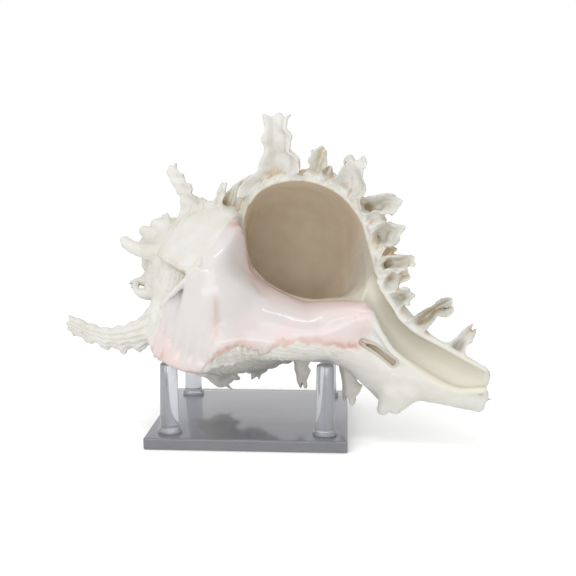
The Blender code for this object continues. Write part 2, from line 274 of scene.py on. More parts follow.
@dataclass
class Whorls:
    """The coiled wall of the shell: every turn of it, with its ribs and knobs.

    A field named for a range holds where an eased step starts and ends, and one with three values
    holds both ends of a band and how far it fades outside them. Lengths are in millimetres and
    angles in degrees, and knob_turns is a knob's width in turns of growth.
    """

    lip_round: float = 1.3
    suture_round: float = 0.8
    inner_lip_round: float = 6.0
    shoulder_round: float = 3.0
    lip_band: float = 3.0
    lip_step: float = 3.5
    lip_swell: float = 4.5
    lip_swell_band: tuple = (72.0, 124.0, 12.0)
    turns: int = 5
    rib_wave: float = 0.12
    rib_wave_spacing: float = 8.0
    knob_turns: float = 0.028
    knob_place: float = 57.0
    knob_length: float = 13.0
    wear_depth: float = 10.0
    wear_band: tuple = (-60.0, 42.0, 30.0)
    wear_start: tuple = (47.0, 57.0)
    wear_end: tuple = (82.0, 70.0)
    ledge_depth: float = 4.6
    ledge_start: tuple = (73.0, 79.0)
    ledge_end: tuple = (88.0, 120.0)
    ledge_band: tuple = (30.0, 56.0, 5.0)
    crest_height: float = 0.8
    crest_angle: float = 70.0
    crest_width: float = 4.0
    callus_start: tuple = (-68.0, -60.0)
    callus_end: tuple = (110.0, 115.0)
    callus_reach: float = 57.0
    callus_widening: float = 12.0
    callus_widening_range: tuple = (80.0, 118.0)

    def __post_init__(self) -> None:
        """Tabulate the outline of a turn, the opening and the ribs."""
        wall = smooth_curve([SUTURE, *SPIRE_OUTLINE, *BODY_OUTLINE, (150.0, 4.0)], 5)
        loop = np.vstack([wall, [(150.0, -40.0), (27.0, -40.0)]])
        self.flat = FlatDistance(loop, (-30.0, -30.0), (260.0, 120.0))
        opening = smooth_curve([*APERTURE, APERTURE[0]], 5)[:-1]
        self.opening = FlatDistance(opening, (0.0, -30.0), (180.0, 110.0))
        self.section = smooth_curve(VARIX_SECTION, 6)

    def callus(self, place: Places) -> Array:
        """Return 1 where the glossy callus covers the wall beside the opening."""
        behind_lip = ease(92.0, 98.0, place.along) * ease(35.0, 15.0, np.abs(place.angle))
        turn = place.angle / 360.0 - 1.0
        edge = np.interp(place.angle, *zip(*CALLUS_EDGE)) * growth(turn)
        covered = ease(-0.4, 0.4, place.along - edge) * (1.0 - ease(*self.callus_end, place.along))
        widening = self.callus_widening * ease(*self.callus_widening_range, place.angle)
        reach = (self.callus_reach + widening) * growth(turn) + 2.0
        covered = covered * (1.0 - ease(0.0, 2.0, place.radius - reach))
        covered = covered * (1.0 - behind_lip * ease(20.0, 24.0, place.radius))
        return covered * ease(*self.callus_start, place.angle)

    def rib_height(self, turn: Array, along: Array) -> Array:
        """Return how far ribs and knobs stand out, before scaling to the turn's size.

        Args:
            turn: turns of growth after the lip, negative before it.
            along: distance along the axis, at full-grown size.
        """
        height = np.zeros_like(along)
        for crest, full in VARICES:
            offset = (turn - crest + 0.5) % 1.0 - 0.5
            share = np.interp(offset, self.section[:, 0], self.section[:, 1])
            if crest == 0.0:
                full = full + self.lip_swell * hump(*self.lip_swell_band, along)
            height = np.maximum(height, share * full)
        wave = self.rib_wave * np.cos(math.tau * along / self.rib_wave_spacing)
        height = height * (1.0 - self.rib_wave + wave)
        buried = ease(47.0, 55.0, along) * hump(-1.08, -0.9, 0.03, turn)
        height = height * (1.0 - buried)
        for crest, full in KNOBS:
            offset = (turn - crest + 0.5) % 1.0 - 0.5
            share = np.exp(-(offset / self.knob_turns) ** 2)
            share = share * np.exp(-((along - self.knob_place) / self.knob_length) ** 2)
            height = np.maximum(height, share * full)
        near_seam = ease(SUTURE[0], 44.0, along)
        return height * near_seam * (1.0 - 0.6 * ease(100.0, 130.0, along))

    def worn(self, place: Places) -> Array:
        """Return how far the wall is worn back where the opening passes over it."""
        depth = self.wear_depth * hump(*self.wear_band, place.angle)
        return depth * ease(*self.wear_start, place.along) * ease(*self.wear_end, place.along)

    def ledge(self, place: Places, along: Array) -> Array:
        """Return how far the wall steps back below the flat shoulder, at scaled places along."""
        step = ease(*self.ledge_start, place.angle) * (1.0 - ease(*self.ledge_end, place.angle))
        crest = np.exp(-((place.angle - self.crest_angle) / self.crest_width) ** 2)
        depth = self.ledge_depth * step - self.crest_height * crest
        return depth * hump(*self.ledge_band, along)

    def lip_front(self, place: Places) -> Array:
        """Return the distance past the wavy front of the lip, where the last turn ends."""
        rim = self.opening.at(place.along, place.radius)
        wave = 0.35 * np.sin(place.along * 1.1) + 0.25 * np.sin(place.along * 2.3)
        front = place.out + self.lip_step * ease(self.lip_band, self.lip_band + 2.2, rim)
        front = front - wave * ease(0.0, 2.0, rim)
        beyond = np.where(place.angle < 0.0, -1e3, place.radius)
        return np.where(np.abs(place.angle) < 90.0, front, beyond)

    def turn_distance(self, place: Places, back: int) -> Array:
        """Return the distance from one turn.

        Args:
            place: where to measure.
            back: how many turns it is before the last one.
        """
        turn = place.angle / 360.0 - back
        size = growth(turn)
        along = place.along / size
        reach = place.radius / size - self.rib_height(turn, along)
        if back == 1:
            reach = reach + (self.ledge(place, along) + self.worn(place)) / size
        distance = size * self.flat.at(along, reach)
        if back == 1:
            facing, limit = SHOULDER_FACE
            past_shoulder = place.points @ np.array(facing) - limit
            distance = blend_max(distance, past_shoulder, self.shoulder_round)
        if back == 0:
            distance = blend_max(distance, self.lip_front(place), self.lip_round)
        return distance

    def distance(self, place: Places, hollow: Array, soft: Array) -> Array:
        """Return the distance from the whole coil, with its last turn hollowed out.

        Args:
            place: where to measure.
            hollow: distance from the hollow's wall there.
            soft: rounding of the lip's inner edge.

        Returns:
            The distance, negative in the wall. The turn before is only cut where the opening
            passes over it, with a wide roll, which makes the inner lip.
        """
        total = blend_max(self.turn_distance(place, 0), -hollow, soft)
        for back in range(1, self.turns + 1):
            near = np.flatnonzero(place.along < 170.0 * growth(0.5 - back))
            if len(near):
                older = Places(place.points[near])
                part = self.turn_distance(older, back)
                if back == 1:
                    beyond = 25.0 * (1.0 - hump(-100.0, 75.0, 35.0, older.angle))
                    part = blend_max(part, -hollow[near] - beyond, self.inner_lip_round)
                total[near] = blend_min(total[near], part, self.suture_round)
        return total


@dataclass
class Cavity:
    """The hollow of the last turn, which the opening leads into.

    It ends a little in front of the lip and at a turn behind it, and can't be reached at all from
    beyond the viewer's side, where the distance is no less than out_of_reach.
    """

    opening: FlatDistance
    front: float = 7.0
    front_round: float = 5.0
    back_turn: float = -0.47
    back_round: float = 6.0
    out_of_reach: float = 20.0

    def distance(self, place: Places) -> Array:
        """Return the distance from the hollow's wall, negative in the hollow."""
        turn = place.angle / 360.0
        size = growth(turn)
        share = np.interp(turn, *zip(*CAVITY_STATIONS))
        centre_along, centre_out = APERTURE_CENTRE
        along = place.along / size - centre_along
        along = centre_along + along / np.where(along < 0.0, 1.0, share)
        reach = place.radius / size - centre_out
        reach = centre_out + reach / np.where(reach < 0.0, 1.0, share)
        wall = size * share * self.opening.at(along, reach)
        wall = blend_max(wall, place.out - self.front, self.front_round)
        depth = (self.back_turn - turn) * math.tau * place.radius
        wall = blend_max(wall, depth, self.back_round)
        return np.where(place.angle > 90.0, np.maximum(wall, self.out_of_reach), wall)


class Stem:
    """Columella, callus flange and the outside of the canal as one smooth lofted column."""

    ANGLE_STEP = 3.0
    ALONG_STEP = 0.5

    def __init__(self) -> None:
        """Tabulate the radius over the distance along the axis and the angle round it."""
        along = np.array([row[0] for row in STEM_SECTIONS], dtype=float)
        rings = []
        for _, radii in STEM_SECTIONS:
            looped = radii[-3:] + radii + radii[:4]
            rings.append(smooth_curve([(value,) for value in looped], 10)[30:-30, 0])
        lengthwise = smooth_curve(list(np.column_stack([along, np.array(rings)])), 12)
        self.low, self.high = along[0], along[-1]
        places = np.arange(self.low, self.high + self.ALONG_STEP, self.ALONG_STEP)
        columns = [np.interp(places, lengthwise[:, 0], lengthwise[:, index + 1])
                   for index in range(lengthwise.shape[1] - 1)]
        self.radius = np.array(columns).T
        slope = np.gradient(self.radius, self.ALONG_STEP, axis=0)
        twist = np.gradient(self.radius, math.radians(self.ANGLE_STEP), axis=1)
        steep = slope ** 2 + (twist / np.maximum(self.radius, 6.0)) ** 2
        self.ease = 1.0 / np.sqrt(1.0 + np.minimum(steep, 3.0))

    def distance(self, place: Places) -> Array:
        """Return the distance from the column."""
        column = (place.along - self.low) / self.ALONG_STEP
        row = (place.angle % 360.0) / self.ANGLE_STEP
        reach = sample_table(self.radius, column, row)
        side = (place.radius - reach) * sample_table(self.ease, column, row)
        ends = np.maximum(self.low - place.along, place.along - self.high)
        return blend_max(side, ends, 1.5)


class Work(Enum):
    """What a cord of round sections does to the shell."""

    ADD = "add"
    CUT = "cut"


@dataclass(frozen=True)
class Bead:
    """A chain of round sections that is added to the shell or cut from it."""

    points: tuple
    work: Work
    blend: float

    def distance(self, points: Array) -> Array:
        """Return the distance from the chain, given (along, up, out, radius) for each point."""
        nodes = smooth_curve(list(self.points), 4) if len(self.points) > 2 else \
            np.array(self.points, dtype=float)
        nearest = np.full(len(points), FAR)
        for start, end in zip(nodes, nodes[1:]):
            line = end[:3] - start[:3]
            share = np.clip((points - start[:3]) @ line / (line @ line), 0.0, 1.0)
            gap = points - start[:3] - share[:, None] * line
            radius = start[3] + (end[3] - start[3]) * share
            nearest = np.minimum(nearest, np.linalg.norm(gap, axis=1) - radius)
        return nearest

    def box(self) -> tuple:
        """Return the lowest and highest corner that the chain can reach."""
        nodes = np.array(self.points, dtype=float)
        room = nodes[:, 3].max() + self.blend + 6.0
        return nodes[:, :3].min(axis=0) - room, nodes[:, :3].max(axis=0) + room


@dataclass(frozen=True)
class Frond:
    """An open spine: a folded blade with ragged sides that starts on a rib.

    Its path is (along, out, lean) at full-grown size in the half-plane of its turn.
    """

    path: tuple
    root: float
    tip: float
    turn: float = 0.0
    fold: float = 0.8
    waist: float = 1.2
    prongs: float = 2.0
    notch: float = 0.14
    ribs: float = 0.0
    thick: float = 2.6
    edge: float = 1.9
    twist: float = 0.0
    seed: int = 0

    def nodes(self) -> Array:
        """Return the path in the shell's frame, in millimetres."""
        angle = math.radians(360.0 * self.turn)
        size = growth(self.turn)
        placed = []
        for along, out, lean in self.path:
            up = out * math.cos(angle) - lean * math.sin(angle)
            forward = out * math.sin(angle) + lean * math.cos(angle)
            placed.append((along * size, up * size, forward * size))
        return smooth_curve(placed, 6)

    def box(self) -> tuple:
        """Return the lowest and highest corner that the spine can reach."""
        nodes = self.nodes()
        room = 0.9 * max(self.root, self.tip) * growth(self.turn) + 7.0
        return nodes.min(axis=0) - room, nodes.max(axis=0) + room

    def place_on_blade(self, points: Array) -> tuple:
        """Find where points lie on the blade.

        Args:
            points: where to measure, in the shell's frame.

        Returns:
            The blade's length, and for each point the distance run along it, the distance across
            it and the distance above its face.
        """
        nodes = self.nodes()
        angle = math.radians(360.0 * self.turn)
        forward = np.array([0.0, -math.sin(angle), math.cos(angle)])
        twist = math.radians(self.twist)
        steps = np.linalg.norm(np.diff(nodes, axis=0), axis=1)
        marks = np.concatenate([[0.0], np.cumsum(steps)])
        nearest = np.full(len(points), FAR ** 2)
        run = np.zeros(len(points))
        across = np.zeros(len(points))
        lift = np.zeros(len(points))
        last = len(steps) - 1
        for index, (start, end) in enumerate(zip(nodes, nodes[1:])):
            heading = (end - start) / steps[index]
            side = np.cross(heading, forward)
            side /= np.linalg.norm(side)
            face = np.cross(side, heading)
            side, face = (side * math.cos(twist) + face * math.sin(twist),
                          face * math.cos(twist) - side * math.sin(twist))
            gap = points - start
            travelled = gap @ heading
            low = -FAR if index == 0 else 0.0
            high = FAR if index == last else steps[index]
            clipped = np.clip(travelled, low, high)
            offset = gap - clipped[:, None] * heading
            far = np.einsum("ij,ij->i", offset, offset)
            better = far < nearest
            nearest = np.where(better, far, nearest)
            run = np.where(better, marks[index] + clipped, run)
            across = np.where(better, offset @ side, across)
            lift = np.where(better, offset @ face, lift)
        return marks[-1], run, across, lift

    def distance(self, points: Array) -> Array:
        """Return the distance from the blade: a bent sheet cut by its ragged sides and tip."""
        length, run, across, lift = self.place_on_blade(points)
        size = float(growth(self.turn))
        share = np.clip(run / length, 0.0, 1.0)
        phase = self.seed * 1.7
        half = 0.5 * size * (self.tip + (self.root - self.tip) * (1.0 - share) ** self.waist)
        half = half * (1.0 + 0.16 * ease(0.75, 1.0, share) + 0.25 * ease(0.25, 0.0, share))
        ragged = np.sin(run * 0.62 / size + phase) * 0.13 + np.sin(run * 1.4 / size + phase) * 0.04
        half = half * (1.0 + ragged * ease(0.1, 0.4, share) * (1.0 + 0.6 * np.tanh(across)))
        place = across / half
        rise = self.fold * half * (np.abs(place) ** 1.5 - 0.4)
        rise = rise + 0.4 * size * np.cos(math.tau * self.ribs * place) * (self.ribs > 0)
        rise = rise + 0.35 * size * np.sin(run * 0.7 / size + phase + 2.5 * place)
        steep = np.sqrt(1.0 + np.minimum((1.5 * self.fold) ** 2 * np.abs(place), 5.0))
        thick = size * self.thick + (self.edge - size * self.thick) * share
        sheet = (np.abs(lift - rise) - 0.5 * thick) / steep
        sides = (np.abs(across) - half) * 0.9
        limit = length * (1.0 - self.notch * (0.5 - 0.5 * np.cos(
            math.pi * self.prongs * place + phase)))
        blade = blend_max(sheet, sides, 1.0)
        blade = blend_max(blade, run - limit, 1.0)
        return blend_max(blade, -4.0 * size - run, 1.0)


# Spines of the lip, from the shoulder to the canal
LIP_FRONDS = (
    Frond(((54.5, 47, -4), (51.5, 58, -2), (47.2, 68, 0), (43.8, 77.0, 0)), 27, 10.5,
          prongs=2.2, notch=0.05, fold=0.8, thick=3.6, ribs=1.5, waist=2.2),
    Frond(((67.5, 56, -4), (67.0, 63, -2), (66.3, 70.5, -1)), 10, 6.5, fold=1.5, seed=1, notch=0.1),
    Frond(((82.0, 55, -4), (82.5, 63, -2), (81.0, 73.0, 0)), 15, 9, fold=1.1, seed=2, ribs=0.8),
    Frond(((92.0, 52, -4), (97.5, 58, -3), (104.0, 62.5, 1)), 13, 7.5, fold=1.2, seed=3,
          notch=0.1),
    Frond(((94.5, 47, -4), (97.5, 52, -2), (100.5, 54, 0)), 9, 6, fold=1.2, seed=13, notch=0.2),
    Frond(((99.0, 42, -4), (104.0, 48, -3), (108.8, 52.0, 1)), 13, 8.5, fold=1.2, seed=4,
          notch=0.15),
    Frond(((102.5, 37, -4), (106.0, 41, -2), (109.5, 43, 0)), 8, 5.5, fold=1.2, seed=14, notch=0.2),
    Frond(((106.0, 32, -4), (112.0, 38, -2), (118.5, 42.0, -1)), 9, 6, fold=1.3, seed=5,
          notch=0.05),
    Frond(((109.5, 27, -4), (114.0, 32.5, -2), (118.5, 35.0, 0)), 9.5, 7.5, fold=1.2, seed=6),
    Frond(((114.5, 20, -4), (119.5, 25, -2), (123.5, 27.5, 0)), 9, 7, fold=1.2, seed=7),
    Frond(((127.0, 11, -2), (132.0, 22, -2), (138.5, 31.5, -2)), 7.5, 6.5, fold=2.2, seed=8,
          notch=0.02, waist=1.0),
    Frond(((144.0, 4, -1), (148.5, 15, -2), (151.2, 26.0, -2)), 12, 4.5, fold=1.2, seed=9),
    Frond(((158.0, 2, -1), (161.5, 7, -1), (163.8, 10.5, -1)), 6, 3, fold=0.8, seed=10),
)
# The same on earlier ribs
EARLIER_FRONDS = (
    Frond(((48, 44, 2), (34, 58, 9.5), (14.4, 65.4, 16.5), (-12.8, 66.3, 17.7)), 24, 9,
          turn=-0.65, ribs=2.5, fold=0.2, thick=4.5, notch=0.03, twist=54.0),
    Frond(((80, 48, 0), (83, 64, 1)), 12, 5, turn=-0.65, seed=11),
    Frond(((57, 47, 2), (53, 67, 7)), 13, 6, turn=-0.65, seed=12),
    Frond(((50, 42, 2), (42, 55, 6), (32, 64.5, 9), (17, 69.5, 11)), 15, 7, turn=-0.43, seed=13,
          thick=4.0),
    Frond(((62, 46, 0), (62, 66, -6), (62, 78, -12)), 28, 24, turn=-0.43, fold=0.2, ribs=1.5,
          thick=6.0, notch=0.06, seed=14),
    Frond(((84, 44, 0), (86, 56, -4), (86, 63, -8)), 14, 8, turn=-0.43, seed=15),
    Frond(((107, 22, 0), (113, 36, -7), (118, 45, -12)), 17, 5, turn=-0.43, seed=16, thick=5.0),
    Frond(((130, 8, 0), (141, 24, -8), (146.5, 38, -13)), 15, 9, turn=-0.43, seed=17, thick=5.0),
    Frond(((104, 18, 0), (106, 42, 0), (107, 61, 1)), 11, 6, turn=-0.325, seed=18, thick=4.0),
    Frond(((38, 36, 0), (29, 50, 0), (17, 60, 0), (8.6, 66.5, 0)), 15, 9, turn=-1.0, seed=19,
          notch=0.04, thick=6.0, fold=0.4),
    Frond(((43, 38, 0), (42, 53, 0)), 10, 7, turn=-1.0, seed=20, thick=5.0),
    Frond(((55, 46, 0), (54.5, 72, 0)), 10, 5, turn=-1.0, seed=21, notch=0.05, thick=4.0),
    Frond(((40, 36, 0), (26, 54, 0)), 14, 9, turn=-1.43, seed=22, thick=6.0),
    Frond(((40, 36, 0), (24, 58, 0)), 14, 9, turn=-1.65, seed=23, thick=6.0),
    Frond(((44, 38, 0), (30, 45, 0), (5, 43, 0)), 18, 12, turn=-1.78, seed=24, thick=9.0,
          notch=0.04, fold=0.2),
    Frond(((38, 36, 0), (27, 52, 0)), 14, 9, turn=-2.0, seed=25, thick=7.0),
    Frond(((38, 36, 0), (27, 52, 0)), 14, 9, turn=-2.43, seed=26, thick=7.0),
)
# Trough of the canal and the way into it from the front: (along, up, out, radius) for each point
TROUGH = Bead(((104, 24, 0, 5.5), (110, 18.8, 1.5, 5.6), (115, 14.8, 2, 6.0), (120, 11.3, 2.5, 6.0),
               (127, 8.3, 3.8, 6.4), (134, 7.1, 5.4, 6.8), (145, 6.7, 6.8, 7.0), (156, 6.8, 7.3, 6.3),
               (167, 9.0, 7.2, 4.5)), Work.CUT, 1.0)
TROUGH_MOUTH = Bead(((109, 25.0, 9.5, 3.0), (112.5, 20.8, 9.5, 3.9), (115, 18.3, 9.5, 4.2),
                     (120, 14.2, 9.5, 4.4), (127, 10.8, 9.5, 5.0), (134, 9.0, 9.5, 5.2)),
                    Work.CUT, 1.0)
# Slit behind the columella, in two depths
SLIT = Bead(((113, 3.2, 9, 1.7), (117.5, 3.0, 8.7, 1.9), (121.7, 2.2, 8.7, 2.0),
             (127, 0.6, 8.7, 2.0)), Work.CUT, 0.6)
SLIT_MOUTH = Bead(((112.5, 4.9, 12.4, 1.6), (117.5, 4.6, 12.4, 2.1), (121.7, 3.8, 12.4, 2.1),
                   (127.5, 2.1, 12.4, 2.2)), Work.CUT, 0.6)
# Round details of spire, columella and canal, the same way
BEADS = (
    # Swollen end of the columella
    Bead(((94, 3.4, 6, 8.3), (102, 8.5, 7.5, 8.0), (107.5, 12.3, 8, 7.0)), Work.ADD, 4.0),
    # Thick knobs of the spire
    Bead(((17, 4.5, 14, 4.0), (11, 3.6, 17.5, 3.0), (5, 4.0, 19, 2.5), (2.4, 5.0, 19.2, 2.1)),
         Work.ADD, 1.5),
    Bead(((22, -13, 15, 3.6), (17, -14.6, 18, 2.4), (13.6, -14.8, 18.5, 1.3)), Work.ADD, 1.5),
    # Turned-out rim of the callus, with what backs it
    Bead(((30, -20.9, 26.8, 3.0), (36, -24.1, 31.9, 3.5), (42, -25.0, 34.2, 3.4),
          (49, -26.0, 34.2, 3.4), (56, -24.7, 34.0, 3.2)), Work.ADD, 3.0),
    Bead(((29, -25.3, 29.1, 1.6), (36, -28.0, 34.6, 2.0), (42, -28.4, 36.6, 2.0),
          (49, -28.6, 35.9, 2.1), (56, -26.5, 35.1, 2.0)), Work.ADD, 3.0),
    Bead(((13, 12, 3, 4.0), (8, 11.5, 4, 2.6)), Work.ADD, 2.0),
    Bead(((8, 6, 4, 4.5), (3.5, 6.5, 4, 2.4)), Work.ADD, 2.0),
    # Lip side of the canal
    Bead(((110, 22, -3, 5.0), (118, 16, -3, 6.0), (128, 11, -2.5, 6.2), (140, 7.0, -1.5, 5.8),
          (152, 7.0, -0.8, 5.4), (161.5, 6.5, -0.4, 4.2)), Work.ADD, 4.0),
    Bead(((108, 26.8, 1.2, 1.9), (115, 22.0, 1.5, 2.0), (120, 18.2, 1.8, 2.0),
          (130.4, 14.8, 1.8, 1.9), (140, 13.7, 2.0, 1.8), (152, 12.3, 2.2, 1.7),
          (162, 11.2, 2.2, 1.5)), Work.ADD, 3.0),
    # Old canal ends under it
    Bead(((131, -12, 7, 5.0), (130.3, -22.3, 6, 2.5)), Work.ADD, 2.5),
    Bead(((137, -9, 6, 6.0), (135.2, -19.2, 6, 2.6)), Work.ADD, 2.5),
    TROUGH,
    TROUGH_MOUTH,
    # Thin ridge between the trough and the slit
    Bead(((111, 16.2, 10.5, 2.4), (117, 11.7, 11.2, 1.4), (123.7, 7.1, 11.4, 1.3),
          (128.8, 4.7, 11.2, 1.5), (135.4, 2.5, 9.8, 2.0), (146, 0.5, 8.8, 2.0),
          (156, 0.6, 7.8, 1.8), (165, 5.0, 6.4, 1.4)), Work.ADD, 1.8),
    Bead(((113.5, 12.5, 9, 2.5), (118, 8.7, 8.5, 2.4), (122, 6.3, 8.5, 1.8)), Work.ADD, 1.5),
    SLIT,
    SLIT_MOUTH,
    # Seam beside the flat shoulder, and the chalky ridge along the callus
    Bead(((18.5, 21.7, 2.1, 0.8), (18.3, 18.9, 5.1, 0.8), (18.3, 16.1, 9.4, 0.8),
          (18.5, 12.9, 13.6, 0.8), (18.0, 9.9, 15.8, 0.7)), Work.CUT, 0.5),
    Bead(((40.9, 15.0, 29.8, 0.9), (40.9, 12.6, 31.7, 1.1), (38.5, 6.0, 32.0, 1.4),
          (36.0, 1.0, 31.0, 1.4), (33.3, -4.4, 30.3, 1.3), (31.0, -9.5, 30.0, 1.0)),
         Work.ADD, 1.5),
)


@dataclass
class ShellField:
    """The whole shell as one distance field.

    The relief's cords are given as height, spacing along the axis and start, and its lumps as
    height and size, in millimetres.
    """

    whorls: Whorls = field(default_factory=Whorls)
    stem: Stem = field(default_factory=Stem)
    noise: LatticeNoise = field(default_factory=lambda: LatticeNoise(7))
    stem_blend: float = 3.5
    lip_edge: float = 1.0
    frond_blend: float = 2.4
    frond_gap: float = 2.6
    cords: tuple = ((0.26, 3.6, 0.0), (0.10, 1.7, 1.0))
    lumps: tuple = ((0.45, 7.0), (0.22, 2.6))
    frond_lumps: tuple = (0.35, 3.4)
    enamel_low: float = -0.35
    enamel_rise: float = 0.95

    def __post_init__(self) -> None:
        """Take the cavity's outline from the whorls' opening."""
        self.cavity = Cavity(self.whorls.opening)

    @staticmethod
    def past_rim(place: Places) -> Array:
        """Return how many millimetres a place lies below the callus's wavy lower rim."""
        rim = np.interp(place.along, *zip(*CALLUS_RIM))
        rim = rim + 1.6 * np.sin(place.along * 0.9) + 0.9 * np.sin(place.along * 2.3 + 1.0)
        return np.radians(place.angle - rim) * place.radius

    def enamel(self, place: Places) -> Array:
        """Return 1 on the callus and the columella, down to the callus's lower rim."""
        column = ease(50.0, 58.0, place.along) * (1.0 - ease(108.0, 112.0, place.along))
        column = column * ease(-32.0, -20.0, place.angle)
        column = column * (1.0 - ease(2.5, 5.0, np.abs(self.stem.distance(place))))
        covered = np.maximum(self.whorls.callus(place), column)
        return covered * (1.0 - ease(-0.6, 0.6, self.past_rim(place)))

    def smooth(self, place: Places, hollow: Array) -> Array:
        """Return 1 where the skin has no cords: callus, hollow, lip band and canal's front."""
        inside = (1.0 - ease(0.3, 1.5, hollow)) * ease(2.0, -1.0, place.out)
        band = (1.0 - ease(2.4, 3.6, np.abs(hollow))) * ease(-2.5, -1.0, place.out)
        canal = 0.8 * ease(104.0, 112.0, place.along) * hump(5.0, 130.0, 20.0, place.angle)
        return np.maximum(np.maximum(self.enamel(place), canal), np.maximum(inside, 0.8 * band))

    def relief(self, place: Places, hollow: Array) -> Array:
        """Return how far the skin's fine relief stands out.

        Args:
            place: where to measure.
            hollow: distance from the hollow's wall there.

        Returns:
            The height of cords, growth lines and chalky lumps, and of the enamel on the callus.
        """
        turn = place.angle / 360.0 - np.where(place.angle > 0.0, 1.0, 0.0)
        size = growth(turn)
        along = place.along / size
        cords = sum(height * np.cos(math.tau * along / spacing + start)
                    for height, spacing, start in self.cords)
        lines = 0.10 * np.sin(place.angle * 1.35) + 0.07 * np.sin(place.angle * 3.1 + 1.0)
        lumps = sum(height * self.noise.at(place.points, lump) for height, lump in self.lumps)
        ramp = hump(3.0, 66.0, 6.0, place.angle) * ease(-0.6, -0.7, turn) * ease(-1.2, -1.1, turn)
        ledge = hump(74.0, 120.0, 5.0, place.angle) * hump(28.0, 58.0, 5.0, along)
        plain = hump(44.0, 118.0, 8.0, along) * (1.0 - ramp)
        coarse = 1.0 - 0.75 * ramp + 1.2 * ledge
        rough = cords * plain + lines * (1.0 - ramp) + lumps * coarse
        thickness = self.enamel_low + self.enamel_rise * ease(92.0, 108.0, place.angle)
        return rough * (1.0 - self.smooth(place, hollow)) + thickness * self.enamel(place)

    def distance(self, points: Array) -> Array:
        """Return the distance from the shell's skin, negative in its wall."""
        place = Places(points)
        hollow = self.cavity.distance(place)
        body = self.whorls.distance(place, hollow, self.lip_edge)
        body = blend_min(body, self.stem.distance(place), self.stem_blend)
        body = body - self.relief(place, hollow)
        for bead in BEADS:
            near = self.near(points, bead.box())
            if len(near):
                part = bead.distance(points[near])
                if bead.work is Work.CUT:
                    body[near] = blend_max(body[near], -part, bead.blend)
                else:
                    body[near] = blend_min(body[near], part, bead.blend)
        open_space = np.minimum(hollow, TROUGH.distance(points))
        for frond in (*LIP_FRONDS, *EARLIER_FRONDS):
            near = self.near(points, frond.box())
            if len(near):
                height, lump = self.frond_lumps
                part = frond.distance(points[near]) - height * self.noise.at(points[near], lump)
                part = blend_max(part, self.frond_gap - open_space[near], 1.0)
                body[near] = blend_min(body[near], part, self.frond_blend)
        return body

    @staticmethod
    def near(points: Array, box: tuple) -> Array:
        """Return which points lie in a box."""
        return np.flatnonzero(np.all((points > box[0]) & (points < box[1]), axis=1))

    def gradient(self, points: Array, step: float = 0.25) -> Array:
        """Return the slope of the field at points."""
        slopes = []
        for axis in range(3):
            shift = np.zeros(3)
            shift[axis] = step
            slopes.append(self.distance(points + shift) - self.distance(points - shift))
        return np.array(slopes).T / (2.0 * step)


